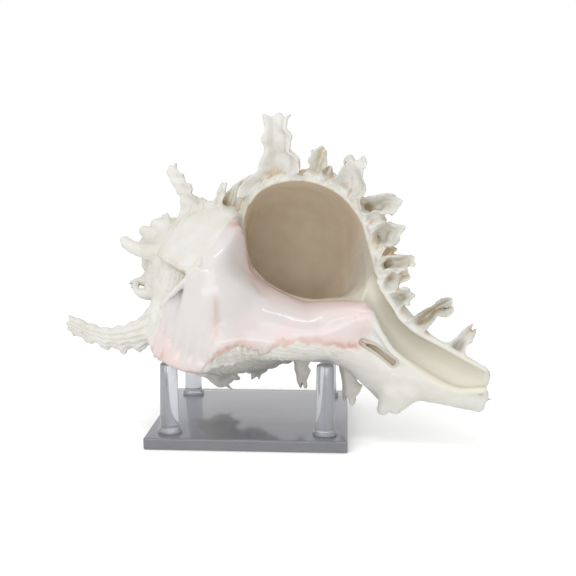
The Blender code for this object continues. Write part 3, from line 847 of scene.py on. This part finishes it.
@dataclass
class SkinMesher:
    """Turns a distance field into a mesh, working only near the skin.

    The skin can lie in a block of cells where the field at its middle is below the block's half
    diagonal times the field's steepest rise, and a margin.
    """

    low: tuple = (-18.0, -66.0, -58.0)
    high: tuple = (174.0, 82.0, 60.0)
    step: float = 0.6
    cells: int = 6
    half_diagonal: float = 0.87
    steepest: float = 1.45
    margin: float = 0.8

    def mesh(self, shape: ShellField) -> tuple:
        """Measure the field near its zero level and mesh it.

        Args:
            shape: the field.

        Returns:
            The points and four-sided faces of the skin.
        """
        block = self.step * self.cells
        counts = [int(math.ceil((high - low) / block)) for low, high in zip(self.low, self.high)]
        corner = np.array(self.low)
        centres = np.stack(np.meshgrid(*[np.arange(count) for count in counts], indexing="ij"),
                           axis=-1).reshape(-1, 3)
        middle = corner + (centres + 0.5) * block - 0.5 * self.step
        coarse = self.in_chunks(shape, middle)
        values = np.sign(coarse).astype(np.float32).reshape(counts)
        for axis in range(3):
            values = np.repeat(values, self.cells, axis=axis)
        near = np.abs(coarse) < block * self.half_diagonal * self.steepest + self.margin
        local = np.stack(np.meshgrid(*[np.arange(self.cells)] * 3, indexing="ij"),
                         axis=-1).reshape(-1, 3)
        nodes = (centres[near][:, None, :] * self.cells + local[None]).reshape(-1, 3)
        log.info("skin: %d of %d nodes lie near it", len(nodes), values.size)
        values[tuple(nodes.T)] = self.in_chunks(shape, corner + nodes * self.step)
        return self.surface(values, corner)

    @staticmethod
    def in_chunks(shape: ShellField, points: Array, size: int = 150000) -> Array:
        """Measure the field at points, size of them at a time, on several cores."""
        parts = [points[start:start + size] for start in range(0, len(points), size)]
        with ThreadPoolExecutor(4) as pool:
            return np.concatenate(list(pool.map(shape.distance, parts)))

    def surface(self, values: Array, corner: Array) -> tuple:
        """Make the skin where the field changes sign.

        Args:
            values: the field at every node of the grid.
            corner: place of its first node.

        Returns:
            One point for each cell that the skin crosses, and the four-sided faces between them.
        """
        inside = values < 0.0
        shape = tuple(count - 1 for count in values.shape)
        total = np.zeros(shape, dtype=np.int8)
        for number in range(8):
            cut = tuple(slice((number >> axis) & 1, (number >> axis & 1) + shape[axis])
                        for axis in range(3))
            total += inside[cut]
        cells = np.argwhere((total > 0) & (total < 8))
        number_of = np.full(shape, -1, dtype=np.int32)
        number_of[tuple(cells.T)] = np.arange(len(cells))
        points = corner + (cells + self.crossing_place(values, cells)) * self.step
        faces = self.faces_between(inside, number_of)
        return points, faces[(faces >= 0).all(axis=1)]

    @staticmethod
    def crossing_place(values: Array, cells: Array) -> Array:
        """Average the places where the skin crosses each cell's edges.

        Args:
            values: the field at every node of the grid.
            cells: the lowest node of each cell.

        Returns:
            The mean place in each cell, from 0 to 1 along each axis.
        """
        summed = np.zeros((len(cells), 3))
        crossings = np.zeros(len(cells))
        for axis in range(3):
            others = [other for other in range(3) if other != axis]
            for first in (0, 1):
                for second in (0, 1):
                    start = np.zeros(3, dtype=int)
                    start[others[0]], start[others[1]] = first, second
                    end = start.copy()
                    end[axis] = 1
                    near_end = values[tuple((cells + start).T)]
                    far_end = values[tuple((cells + end).T)]
                    crossed = (near_end < 0) != (far_end < 0)
                    gap = np.where(crossed, near_end - far_end, 1.0)
                    share = np.where(crossed, near_end / gap, 0.0)
                    place = start + np.zeros((len(cells), 3))
                    place[:, axis] = share
                    summed += place * crossed[:, None]
                    crossings += crossed
        return summed / crossings[:, None]

    @staticmethod
    def faces_between(inside: Array, number_of: Array) -> Array:
        """Join the cells around every edge of the grid that the skin crosses.

        Args:
            inside: which nodes lie in the wall.
            number_of: the number of each cell's point, or -1.

        Returns:
            Four points for each face, turned outwards.
        """
        faces = []
        for axis in range(3):
            first, second = [(axis + 1) % 3, (axis + 2) % 3]
            here = [slice(1, -1)] * 3
            here[axis] = slice(0, -1)
            there = [slice(1, -1)] * 3
            there[axis] = slice(1, None)
            changed = inside[tuple(here)] != inside[tuple(there)]
            edges = np.argwhere(changed)
            edges[:, first] += 1
            edges[:, second] += 1
            corners = []
            for back_first, back_second in ((1, 1), (0, 1), (0, 0), (1, 0)):
                cell = edges.copy()
                cell[:, first] -= back_first
                cell[:, second] -= back_second
                corners.append(number_of[tuple(cell.T)])
            quads = np.stack(corners, axis=1)
            flip = ~inside[tuple(edges.T)]
            quads[flip] = quads[flip][:, ::-1]
            faces.append(quads)
        return np.concatenate(faces)


# Colours, nodes and finishes


def linear(code: str) -> tuple:
    """Turn an sRGB hex colour into linear values with full alpha."""
    parts = [int(code[index:index + 2], 16) / 255.0 for index in (1, 3, 5)]
    return (*[part / 12.92 if part <= 0.04045 else ((part + 0.055) / 1.055) ** 2.4
              for part in parts], 1.0)


def add_node(tree: bpy.types.NodeTree, kind: str, inputs: dict, **settings: object) -> \
        bpy.types.Node:
    """Add a node with its settings and links.

    Args:
        tree: the material's or world's nodes.
        kind: Blender's name of the node.
        inputs: a value, or a socket to link, for each input by its name or number.
        settings: properties of the node.

    Returns:
        The node.
    """
    node = tree.nodes.new(kind)
    for name, value in settings.items():
        setattr(node, name, value)
    for key, value in inputs.items():
        if isinstance(value, bpy.types.NodeSocket):
            tree.links.new(value, node.inputs[key])
        else:
            node.inputs[key].default_value = value
    return node


def new_material(name: str) -> tuple:
    """Make an empty node material and return it with its tree."""
    material = bpy.data.materials.new(name)
    material.use_nodes = True
    material.node_tree.nodes.clear()
    return material, material.node_tree


def mix_colour(tree: bpy.types.NodeTree, share: object, first: object, second: object) -> \
        bpy.types.NodeSocket:
    """Mix two colours, each a value or a socket, by a share that is a value or a socket."""
    node = add_node(tree, "ShaderNodeMix", {0: share, 6: first, 7: second}, data_type="RGBA")
    return node.outputs[2]


def calculate(tree: bpy.types.NodeTree, operation: str, *values: object) -> \
        bpy.types.NodeSocket:
    """Work out one number from others, each a value or a socket."""
    node = add_node(tree, "ShaderNodeMath", dict(enumerate(values)), operation=operation,
                    use_clamp=operation == "MULTIPLY_ADD")
    return node.outputs[0]


class Mask(Enum):
    """The masks that the shell's finish reads from its mesh."""

    GLAZE = "glaze"
    INSIDE = "inside"
    # Beige painted shade on the inner lip wall and in the trough
    PAINTED_SHADE_CREAM = "cream"
    # Olive in pits and crevices: partly grime, partly painted shade
    DIRT_AND_SHADE = "dirt"
    RUST = "rust"
    BLUSH = "blush"
    ORANGE = "orange"


@dataclass(frozen=True)
class GrownShell:
    """Calcite grown in layers: chalky and ribbed outside, porcelain-smooth on the callus.

    The eye sees a dull cream skin with rusty stain in its crevices and a yellow-olive there that is
    partly grime, partly painted shade, a bright wet-looking inner lip that blushes pink and orange, a
    cream of painted shade on the lip's inner wall and in the trough, and an even tan hollow whose tan
    is painted shade and warm bounce light.
    """

    chalk: str = "#c5c4c0"
    chalk_shade: str = "#bcbab0"
    # Olive of grime and of painted shade, put where the skin is closed in
    dirt: str = "#aea27a"
    rust: str = "#b08350"
    porcelain: str = "#bbb7b5"
    blush: str = "#c9aeab"
    orange: str = "#a8806a"
    # Painted shade and warm bounce light: the hollow's tan stands in for the shade inside it
    hollow: str = "#cfc2af"
    hollow_shade: str = "#c7b89f"
    # Painted shade: the beige of the shaded inner lip wall and the canal's trough
    cream: str = "#c3bfb1"
    rough_outside: float = 0.72
    rough_glaze: float = 0.14
    rough_cream: float = 0.35
    rough_hollow: float = 0.5
    ior: float = 1.5
    blotch_mm: float = 9.0
    blotch_contrast: float = 2.2
    blotch_start: float = -0.6
    grain_mm: float = 0.8
    grain_height_mm: float = 0.25
    grain_strength: float = 0.5

    def build(self) -> bpy.types.Material:
        """Make the material, which reads the masks stored on the mesh."""
        material, tree = new_material("grown_calcite_shell")
        masks = {
            mask: add_node(tree, "ShaderNodeAttribute", {}, attribute_name=mask.value).outputs[2]
            for mask in Mask}
        where = add_node(tree, "ShaderNodeTexCoord", {}).outputs["Object"]
        blotch = add_node(tree, "ShaderNodeTexNoise", {
            "Vector": where, "Scale": 1.0 / (self.blotch_mm * MM), "Detail": 3.0}).outputs[0]
        grain = add_node(tree, "ShaderNodeTexNoise", {
            "Vector": where, "Scale": 1.0 / (self.grain_mm * MM), "Detail": 4.0}).outputs[0]
        tone = calculate(tree, "MULTIPLY_ADD", blotch, self.blotch_contrast, self.blotch_start)
        chalk = mix_colour(tree, tone, linear(self.chalk_shade), linear(self.chalk))
        # Painted shade, partly grime: olive mixed in by how closed in the skin is
        chalk = mix_colour(tree, masks[Mask.DIRT_AND_SHADE], chalk, linear(self.dirt))
        chalk = mix_colour(tree, masks[Mask.RUST], chalk, linear(self.rust))
        glaze = mix_colour(tree, masks[Mask.BLUSH], linear(self.porcelain), linear(self.blush))
        glaze = mix_colour(tree, masks[Mask.ORANGE], glaze, linear(self.orange))
        skin = mix_colour(tree, masks[Mask.GLAZE], chalk, glaze)
        # Painted shade: beige over the inner lip wall and the trough
        skin = mix_colour(tree, masks[Mask.PAINTED_SHADE_CREAM], skin, linear(self.cream))
        # Painted warm shade: the hollow's tan, with a random blotchy tone
        inner = mix_colour(tree, tone, linear(self.hollow_shade), linear(self.hollow))
        skin = mix_colour(tree, masks[Mask.INSIDE], skin, inner)
        rough = self.rough_outside
        for mask, smoother in ((Mask.GLAZE, self.rough_glaze), (Mask.PAINTED_SHADE_CREAM, self.rough_cream),
                               (Mask.INSIDE, self.rough_hollow)):
            rough = add_node(tree, "ShaderNodeMix", {0: masks[mask], 2: rough, 3: smoother},
                             data_type="FLOAT").outputs[0]
        strength = calculate(tree, "MULTIPLY_ADD", masks[Mask.GLAZE], -self.grain_strength,
                             self.grain_strength)
        bump = add_node(tree, "ShaderNodeBump", {
            "Height": grain, "Strength": strength,
            "Distance": self.grain_height_mm * MM}).outputs[0]
        shader = add_node(tree, "ShaderNodeBsdfPrincipled", {
            "Base Color": skin, "Roughness": rough, "Normal": bump, "IOR": self.ior})
        add_node(tree, "ShaderNodeOutputMaterial", {"Surface": shader.outputs[0]})
        return material


@dataclass(frozen=True)
class ClearAcrylic:
    """Cast acrylic, polished: clear through its faces, with a faint grey in its depth."""

    tint: str = "#dcdde2"
    depth_colour: str = "#86868f"
    depth_density: float = 32.0
    clearness: float = 0.85
    roughness: float = 0.12
    specular: float = 0.3
    ior: float = 1.49
    ripple_mm: float = 14.0
    ripple_height_mm: float = 0.4
    ripple_strength: float = 0.08

    def build(self) -> bpy.types.Material:
        """Make the material."""
        material, tree = new_material("cast_acrylic_polished")
        where = add_node(tree, "ShaderNodeTexCoord", {}).outputs["Object"]
        ripple = add_node(tree, "ShaderNodeTexNoise", {
            "Vector": where, "Scale": 1.0 / (self.ripple_mm * MM), "Detail": 2.0}).outputs[0]
        bump = add_node(tree, "ShaderNodeBump", {
            "Height": ripple, "Strength": self.ripple_strength,
            "Distance": self.ripple_height_mm * MM}).outputs[0]
        shader = add_node(tree, "ShaderNodeBsdfPrincipled", {
            "Base Color": linear(self.tint), "Roughness": self.roughness, "Normal": bump,
            "IOR": self.ior, "Transmission Weight": self.clearness,
            "Specular IOR Level": self.specular})
        depth = add_node(tree, "ShaderNodeVolumeAbsorption", {
            "Color": linear(self.depth_colour), "Density": self.depth_density})
        add_node(tree, "ShaderNodeOutputMaterial", {
            "Surface": shader.outputs[0], "Volume": depth.outputs[0]})
        return material


@dataclass(frozen=True)
class PaperSweep:
    """A matt white paper sweep: an even, almost shadowless ground."""

    colour: str = "#ffffff"
    roughness: float = 0.9

    def build(self) -> bpy.types.Material:
        """Make the material."""
        material, tree = new_material("white_paper_sweep")
        shader = add_node(tree, "ShaderNodeBsdfPrincipled", {
            "Base Color": linear(self.colour), "Roughness": self.roughness})
        add_node(tree, "ShaderNodeOutputMaterial", {"Surface": shader.outputs[0]})
        return material


def new_piece(name: str, mesh: bpy.types.Mesh, material: bpy.types.Material, node: str) -> bpy.types.Object:
    """Make a piece of the object.

    Args:
        name: what the piece is called.
        mesh: its shape in the world's frame.
        material: its finish.
        node: the node of the solids that it stands for.

    Returns:
        The piece.
    """
    piece = bpy.data.objects.new(name, mesh)
    bpy.context.scene.collection.objects.link(piece)
    mesh.materials.append(material)
    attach(piece, "root")
    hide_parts(node)
    log.info("%s: %d faces", name, len(mesh.polygons))
    return piece


@dataclass
class MurexShell:
    """The shell: one skin with its masks, in the pose in which it lies on the stand."""

    apex: Vector = field(default_factory=lambda: Vector((-0.05206, 0.00129, 0.08367)))
    heading: float = -12.92
    dip: float = 21.49
    roll: float = 8.0
    most_faces: int = 190000
    grid_mm: float = 0.6
    quick_grid_mm: float = 0.9
    most_pull_mm: float = 0.4
    least_slope: float = 0.2
    normal_step_mm: float = 0.35
    least_agreement: float = 0.75
    wide_probe_mm: float = 3.0
    tight_probe_mm: float = 1.3
    # Share of the olive grime and painted shade in pits and crevices
    dirt_and_shade_share: float = 0.55
    rust_share: float = 0.55
    shape: ShellField = field(default_factory=ShellField)
    finish: GrownShell = field(default_factory=GrownShell)

    def matrix(self) -> Matrix:
        """Return the transform from the shell's frame, in metres, to the world."""
        turned = Euler([math.radians(value) for value in (self.roll, self.dip, self.heading)])
        return Matrix.Translation(self.apex) @ turned.to_matrix().to_4x4()

    def to_world(self, vectors: Array, moved: bool = True) -> Array:
        """Take points, or directions if not moved, from the shell's frame to the world."""
        along, up, out = vectors.T
        local = np.stack([along, -out, up], axis=1) * (MM if moved else 1.0)
        matrix = np.array(self.matrix())
        turned = local @ matrix[:3, :3].T
        return turned + matrix[:3, 3] if moved else turned

    def build(self) -> bpy.types.Object:
        """Build the shell's piece.

        The thinned skin is pulled back onto the field's zero level, and its normals come from the
        field's slope, but from its own faces where the two disagree.
        """
        step = self.grid_mm
        points, faces = SkinMesher(step=step).mesh(self.shape)
        log.info("skin: %d points, %d faces before thinning", len(points), len(faces))
        points, faces = self.largest(*self.thin(points, faces))
        log.info("skin: %d points, %d faces", len(points), len(faces))
        slope = self.shape.gradient(points)
        steep = np.maximum(np.einsum("ij,ij->i", slope, slope), self.least_slope)
        off = self.shape.distance(points)
        pull = np.clip(off / steep, -self.most_pull_mm, self.most_pull_mm)
        points = points - slope * pull[:, None]
        slope = self.shape.gradient(points, self.normal_step_mm)
        steepness = np.linalg.norm(slope, axis=1)
        normals = slope / steepness[:, None]
        plain = self.face_normals(points, faces)
        wrong = np.einsum("ij,ij->i", normals, plain) < self.least_agreement
        normals[wrong] = plain[wrong]
        mesh = bpy.data.meshes.new("murex_shell_skin")
        mesh.from_pydata(self.to_world(points).tolist(), [], faces.tolist())
        mesh.shade_smooth()
        for mask, values in self.masks(points, normals, steepness).items():
            layer = mesh.attributes.new(mask.value, "FLOAT", "POINT")
            layer.data.foreach_set("value", np.clip(values, 0.0, 1.0).astype(np.float32))
        mesh.normals_split_custom_set_from_vertices(self.to_world(normals, False).tolist())
        return new_piece("murex_shell_skin", mesh, self.finish.build(), "murex_shell")

    @staticmethod
    def face_normals(points: Array, faces: Array) -> Array:
        """Return each point's normal as the mean of the triangles around it."""
        first, second, third = (points[faces[:, corner]] for corner in range(3))
        normal = np.cross(second - first, third - first)
        total = np.zeros_like(points)
        for corner in range(3):
            np.add.at(total, faces[:, corner], normal)
        return total / np.maximum(np.linalg.norm(total, axis=1, keepdims=True), TINY)

    @staticmethod
    def largest(points: Array, faces: Array) -> tuple:
        """Drop the crumbs that hang on nothing and keep the one large skin."""
        label = np.arange(len(points))
        while True:
            lowest = label[faces].min(axis=1)
            fresh = label.copy()
            for corner in range(faces.shape[1]):
                np.minimum.at(fresh, faces[:, corner], lowest)
            fresh = fresh[fresh]
            if np.array_equal(fresh, label):
                break
            label = fresh
        names, counts = np.unique(label, return_counts=True)
        kept = label == names[counts.argmax()]
        order = np.cumsum(kept) - 1
        log.info("skin: %d crumbs dropped", len(names) - 1)
        return points[kept], order[faces[kept[faces[:, 0]]]]

    def thin(self, points: Array, faces: Array) -> tuple:
        """Merge faces where the skin is nearly flat.

        Args:
            points: the skin's points.
            faces: its four-sided faces.

        Returns:
            The points and triangles left, no more than the piece may have.
        """
        mesh = bpy.data.meshes.new("skin_before_thinning")
        mesh.from_pydata(points.tolist(), [], faces.tolist())
        helper = bpy.data.objects.new("skin_before_thinning", mesh)
        bpy.context.scene.collection.objects.link(helper)
        thinner = helper.modifiers.new("Thin", "DECIMATE")
        thinner.ratio = min(1.0, self.most_faces / (2.0 * len(faces)))
        made = helper.evaluated_get(bpy.context.evaluated_depsgraph_get()).to_mesh()
        made.calc_loop_triangles()
        kept = np.empty(len(made.vertices) * 3, dtype=np.float32)
        made.vertices.foreach_get("co", kept)
        corners = np.empty(len(made.loop_triangles) * 3, dtype=np.int32)
        made.loop_triangles.foreach_get("vertices", corners)
        helper.to_mesh_clear()
        bpy.data.objects.remove(helper, do_unlink=True)
        return kept.reshape(-1, 3).astype(float), corners.reshape(-1, 3)

    def masks(self, points: Array, normals: Array, steepness: Array) -> dict:
        """Work out the masks that the finish reads.

        Args:
            points: the skin's points.
            normals: its directions there.
            steepness: how fast the field rises there for each millimetre.

        Returns:
            The values of every mask, one for each point.
        """
        place = Places(points)
        hollow = self.shape.cavity.distance(place)
        masks = self.cover_masks(place, hollow)
        bare = (1.0 - masks[Mask.GLAZE]) * (1.0 - masks[Mask.PAINTED_SHADE_CREAM])
        wide, tight = (1.0 - self.shape.distance(points + probe * normals) / (probe * steepness)
                       for probe in (self.wide_probe_mm, self.tight_probe_mm))
        # Painted crevice shade with some grime: the olive follows how closed in the skin is, as occlusion
        # would
        pits = ease(0.35, 1.05, wide + 0.35 * self.shape.noise.at(points, 5.0))
        masks[Mask.DIRT_AND_SHADE] = self.dirt_and_shade_share * pits * bare
        masks[Mask.RUST] = self.rust_share * self.rust(place, wide, tight) * bare
        return masks | self.tint_masks(place, hollow)

    def cover_masks(self, place: Places, hollow: Array) -> dict:
        """Work out which of its surfaces the shell shows: glaze, the cream of painted shade on the inner
        lip wall and trough, or the hollow, whose tan is painted shade and warm bounce light.

        Args:
            place: the skin's points.
            hollow: distance from the hollow's wall there.

        Returns:
            The values of the masks for glaze, inside and cream; inside and cream carry painted shade.
        """
        at_wall = 1.0 - ease(0.4, 1.4, hollow)
        lipward = ease(18.0, 30.0, place.radius)
        deep_slit = 1.0 - ease(0.3, 0.9, SLIT.distance(place.points))
        # Painted shade and warm bounce light: the hollow and the deep slit take the tan
        inside = at_wall * ease(0.5, -1.5, place.out) * ease(96.0, 90.0, place.along)
        trough = 1.0 - ease(0.2, 1.0, TROUGH.distance(place.points))
        throat = ease(92.0, 97.0, place.along) * ease(2.5, -0.5, place.out)
        glaze = self.shape.enamel(place) * (1.0 - inside)
        glaze = glaze * (1.0 - at_wall * np.maximum(throat, lipward)) * (1.0 - trough)
        inside = np.maximum(inside, deep_slit)
        # Painted shade: the inner lip wall and the trough take a beige in place of the glaze
        inner = np.maximum(at_wall * ease(1.5, 0.0, place.out), trough)
        cream = inner * (1.0 - inside) * (1.0 - glaze)
        return {Mask.GLAZE: glaze, Mask.INSIDE: inside, Mask.PAINTED_SHADE_CREAM: cream}

    def rust(self, place: Places, wide: Array, tight: Array) -> Array:
        """Work out the rusty stain: in the narrowest folds, and in a broken line behind the lip.

        Args:
            place: the skin's points.
            wide: how closed in the skin is over the wide probe's length.
            tight: the same over the tight probe's length.

        Returns:
            The stain's share at each point.
        """
        noise = self.shape.noise
        closed = 0.6 * wide + 0.5 * tight + 0.25 * noise.at(place.points, 5.0)
        rim = self.shape.whorls.opening.at(place.along, place.radius)
        behind_lip = hump(3.4, 6.5, 1.2, rim) * hump(-12.0, 0.0, 2.0, place.out)
        behind_lip = behind_lip * hump(46.0, 122.0, 3.0, place.along) * (np.abs(place.angle) < 60.0)
        broken = ease(0.05, 0.6, noise.at(place.points, 2.6))
        return np.maximum(0.8 * ease(0.55, 1.05, closed), 0.7 * behind_lip * broken)

    def tint_masks(self, place: Places, hollow: Array) -> dict:
        """Work out the glaze's colours: pink by its edges, orange in lines and mottles.

        Args:
            place: the skin's points.
            hollow: distance from the hollow's wall there.

        Returns:
            The values of the masks for blush and orange.
        """
        points, noise = place.points, self.shape.noise
        past = self.shape.past_rim(place)
        rim_line = np.exp(-((past + 1.6) / 1.3) ** 2) * (0.6 + 0.4 * noise.at(points, 7.0))
        streak = np.exp(-((place.along - 54.2 - 0.2 * (place.angle - 86.0)) / 1.1) ** 2)
        streak = streak * hump(86.0, 104.0, 8.0, place.angle)
        columnar = np.maximum(ease(2.0, 9.0, place.out), 1.0 - ease(18.0, 24.0, place.radius))
        near_edge = (1.0 - ease(0.0, 15.0, np.abs(hollow))) * columnar
        mottle = near_edge * ease(0.15, 0.75, noise.at(points, 4.5)) * ease(80.0, 66.0, place.along)
        low = (1.0 - ease(2.0, 14.0, np.abs(past))) * (0.5 + 0.5 * noise.at(points, 8.0))
        return {
            Mask.BLUSH: np.maximum(near_edge * (0.6 + 0.4 * noise.at(points, 11.0)), 0.9 * low),
            Mask.ORANGE: np.maximum(np.maximum(rim_line, 0.45 * streak), mottle),
        }


@dataclass
class AcrylicStand:
    """The clear stand: a square plate and four round pegs with a wider foot, in metres."""

    base_size: float = 0.085
    base_thickness: float = 0.005
    base_bevel: float = 0.0009
    peg_inset: float = 0.0096
    peg_height: float = 0.0298
    foot_radius: float = 0.0052
    foot_height: float = 0.0012
    foot_side: float = 0.0008
    foot_lower_edge: float = 0.0002
    foot_upper_edge: float = 0.0004
    foot_fillet: float = 0.0003
    shaft_radius: float = 0.0041
    top_radius: float = 0.0036
    top_round: float = 0.0009
    gap: float = 0.0003
    steps: int = 64
    sharp_angle: float = 40.0
    merge_distance: float = 0.00001
    finish: ClearAcrylic = field(default_factory=ClearAcrylic)

    def build(self) -> None:
        """Build the plate and the pegs."""
        material = self.finish.build()
        new_piece("clear_plate", self.plate_mesh(), material, "stand_base")
        for side_name, side_y in (("front", -1), ("back", 1)):
            for hand_name, side_x in (("left", -1), ("right", 1)):
                name = f"{side_name}_{hand_name}"
                mesh = self.peg_mesh(side_x, side_y)
                new_piece(f"clear_peg_{name}", mesh, material, f"stand_peg_{name}")

    def plate_mesh(self) -> bpy.types.Mesh:
        """Return the plate with its polished rounded edges."""
        builder = bmesh.new()
        bmesh.ops.create_cube(builder, size=1.0)
        bmesh.ops.scale(builder, vec=(self.base_size, self.base_size, self.base_thickness),
                        verts=builder.verts[:])
        bmesh.ops.translate(builder, vec=(0.0, 0.0, self.base_thickness / 2),
                            verts=builder.verts[:])
        bmesh.ops.bevel(builder, geom=builder.edges[:], offset=self.base_bevel, segments=4,
                        profile=0.6, affect="EDGES")
        return self.finished_mesh("clear_plate", builder)

    def peg_mesh(self, side_x: int, side_y: int) -> bpy.types.Mesh:
        """Turn one peg about its own axis and set it on the plate.

        Args:
            side_x: -1 for the left side, 1 for the right.
            side_y: -1 for the front, 1 for the back.

        Returns:
            The peg's mesh.
        """
        top = self.peg_height
        corner = [(self.top_radius - self.top_round * (1.0 - math.sin(turn)),
                   top - self.top_round * (1.0 - math.cos(turn)))
                  for turn in np.linspace(math.pi / 2, 0.0, 5)]
        foot = self.foot_radius
        profile = [(0.0, 0.0), (foot - self.foot_lower_edge, 0.0), (foot, self.foot_lower_edge),
                   (foot, self.foot_side), (foot - self.foot_upper_edge, self.foot_height),
                   (self.shaft_radius, self.foot_height + self.foot_fillet), *corner, (0.0, top)]
        builder = bmesh.new()
        rim = [builder.verts.new((radius, 0.0, height)) for radius, height in profile]
        edges = [builder.edges.new(pair) for pair in zip(rim, rim[1:])]
        bmesh.ops.spin(builder, geom=rim + edges, cent=(0, 0, 0), axis=(0, 0, 1),
                       angle=math.tau, steps=self.steps)
        bmesh.ops.remove_doubles(builder, verts=builder.verts[:], dist=self.merge_distance)
        reach = self.base_size / 2 - self.peg_inset
        bmesh.ops.translate(builder, verts=builder.verts[:],
                            vec=(side_x * reach, side_y * reach, self.base_thickness + self.gap))
        return self.finished_mesh("clear_peg", builder)

    def finished_mesh(self, name: str, builder: bmesh.types.BMesh) -> bpy.types.Mesh:
        """Close a builder into a smooth-shaded mesh with its flat faces kept flat."""
        bmesh.ops.recalc_face_normals(builder, faces=builder.faces[:])
        mesh = bpy.data.meshes.new(name)
        builder.to_mesh(mesh)
        builder.free()
        mesh.shade_smooth()
        mesh.set_sharp_from_angle(angle=math.radians(self.sharp_angle))
        return mesh


@dataclass
class Studio:
    """The white sweep, the soft lights and the camera at the photograph's angle."""

    sweep_half: float = 3.0
    sweep_drop: float = 0.0002
    world_strength: float = 1.0
    camera_place: tuple = (0.0414, -0.4349, 0.127)
    camera_drop: float = 8.45
    camera_turn: float = 3.42
    focal_pixels: float = 987.0
    picture_pixels: float = 576.0
    sensor_mm: float = 36.0
    # Name, place, width, height and power of each soft light, all aimed at the shell
    lights: tuple = (
        ("key", (-0.35, -0.45, 0.95), 0.8, 0.8, 2.0),
        ("front", (-0.05, -0.95, 0.35), 0.6, 0.4, 1.3),
        ("low", (0.0, -0.75, 0.07), 0.7, 0.12, 0.8),
        ("strip_left", (-0.45, -0.75, 0.55), 0.5, 0.05, 0.6),
        ("strip_top", (0.0, -0.4, 0.8), 0.5, 0.04, 0.7),
    )
    target: tuple = (0.01, 0.0, 0.07)

    def build(self) -> None:
        """Build the sweep, the world, the lights and the camera."""
        self.build_sweep()
        self.build_world()
        for light in self.lights:
            self.build_light(*light)
        self.build_camera()

    def build_sweep(self) -> None:
        """Build the floor, which isn't part of the object."""
        builder = bmesh.new()
        bmesh.ops.create_grid(builder, x_segments=4, y_segments=4, size=self.sweep_half)
        mesh = bpy.data.meshes.new("paper_sweep")
        builder.to_mesh(mesh)
        builder.free()
        mesh.materials.append(PaperSweep().build())
        floor = bpy.data.objects.new("paper_sweep", mesh)
        floor.location.z = -self.sweep_drop
        bpy.context.scene.collection.objects.link(floor)

    def build_world(self) -> None:
        """Build the even white surround."""
        world = bpy.data.worlds.new("white_surround")
        world.use_nodes = True
        world.node_tree.nodes.clear()
        glow = add_node(world.node_tree, "ShaderNodeBackground", {
            "Color": (1.0, 1.0, 1.0, 1.0), "Strength": self.world_strength})
        add_node(world.node_tree, "ShaderNodeOutputWorld", {"Surface": glow.outputs[0]})
        bpy.context.scene.world = world
        bpy.context.scene.view_settings.view_transform = "Standard"

    def build_light(self, name: str, place: tuple, width: float, height: float,
                    power: float) -> None:
        """Build one soft light aimed at the shell.

        Args:
            name: what the light is called.
            place: its middle, in metres.
            width: its size across, in metres.
            height: its size the other way.
            power: its power in watts.
        """
        lamp = bpy.data.lights.new(name, "AREA")
        lamp.shape = "RECTANGLE"
        lamp.size, lamp.size_y = width, height
        lamp.energy = power
        light = bpy.data.objects.new(name, lamp)
        light.location = place
        aim = Vector(self.target) - Vector(place)
        light.rotation_euler = aim.to_track_quat("-Z", "Y").to_euler()
        bpy.context.scene.collection.objects.link(light)

    def build_camera(self) -> None:
        """Build the camera that was solved from the stand's plate in the photograph."""
        lens = bpy.data.cameras.new("camera")
        lens.sensor_width = self.sensor_mm
        lens.lens = self.focal_pixels / self.picture_pixels * lens.sensor_width
        lens.clip_start = 0.01
        camera = bpy.data.objects.new("camera", lens)
        camera.location = self.camera_place
        camera.rotation_euler = (math.radians(90.0 - self.camera_drop), 0.0,
                                 math.radians(self.camera_turn))
        bpy.context.scene.collection.objects.link(camera)
        bpy.context.scene.camera = camera


def main() -> None:
    """Build the shell, its stand and the studio."""
    logging.basicConfig(level=logging.INFO, format="%(message)s")
    MurexShell().build()
    AcrylicStand().build()
    Studio().build()


if __name__ == "__main__":
    main()
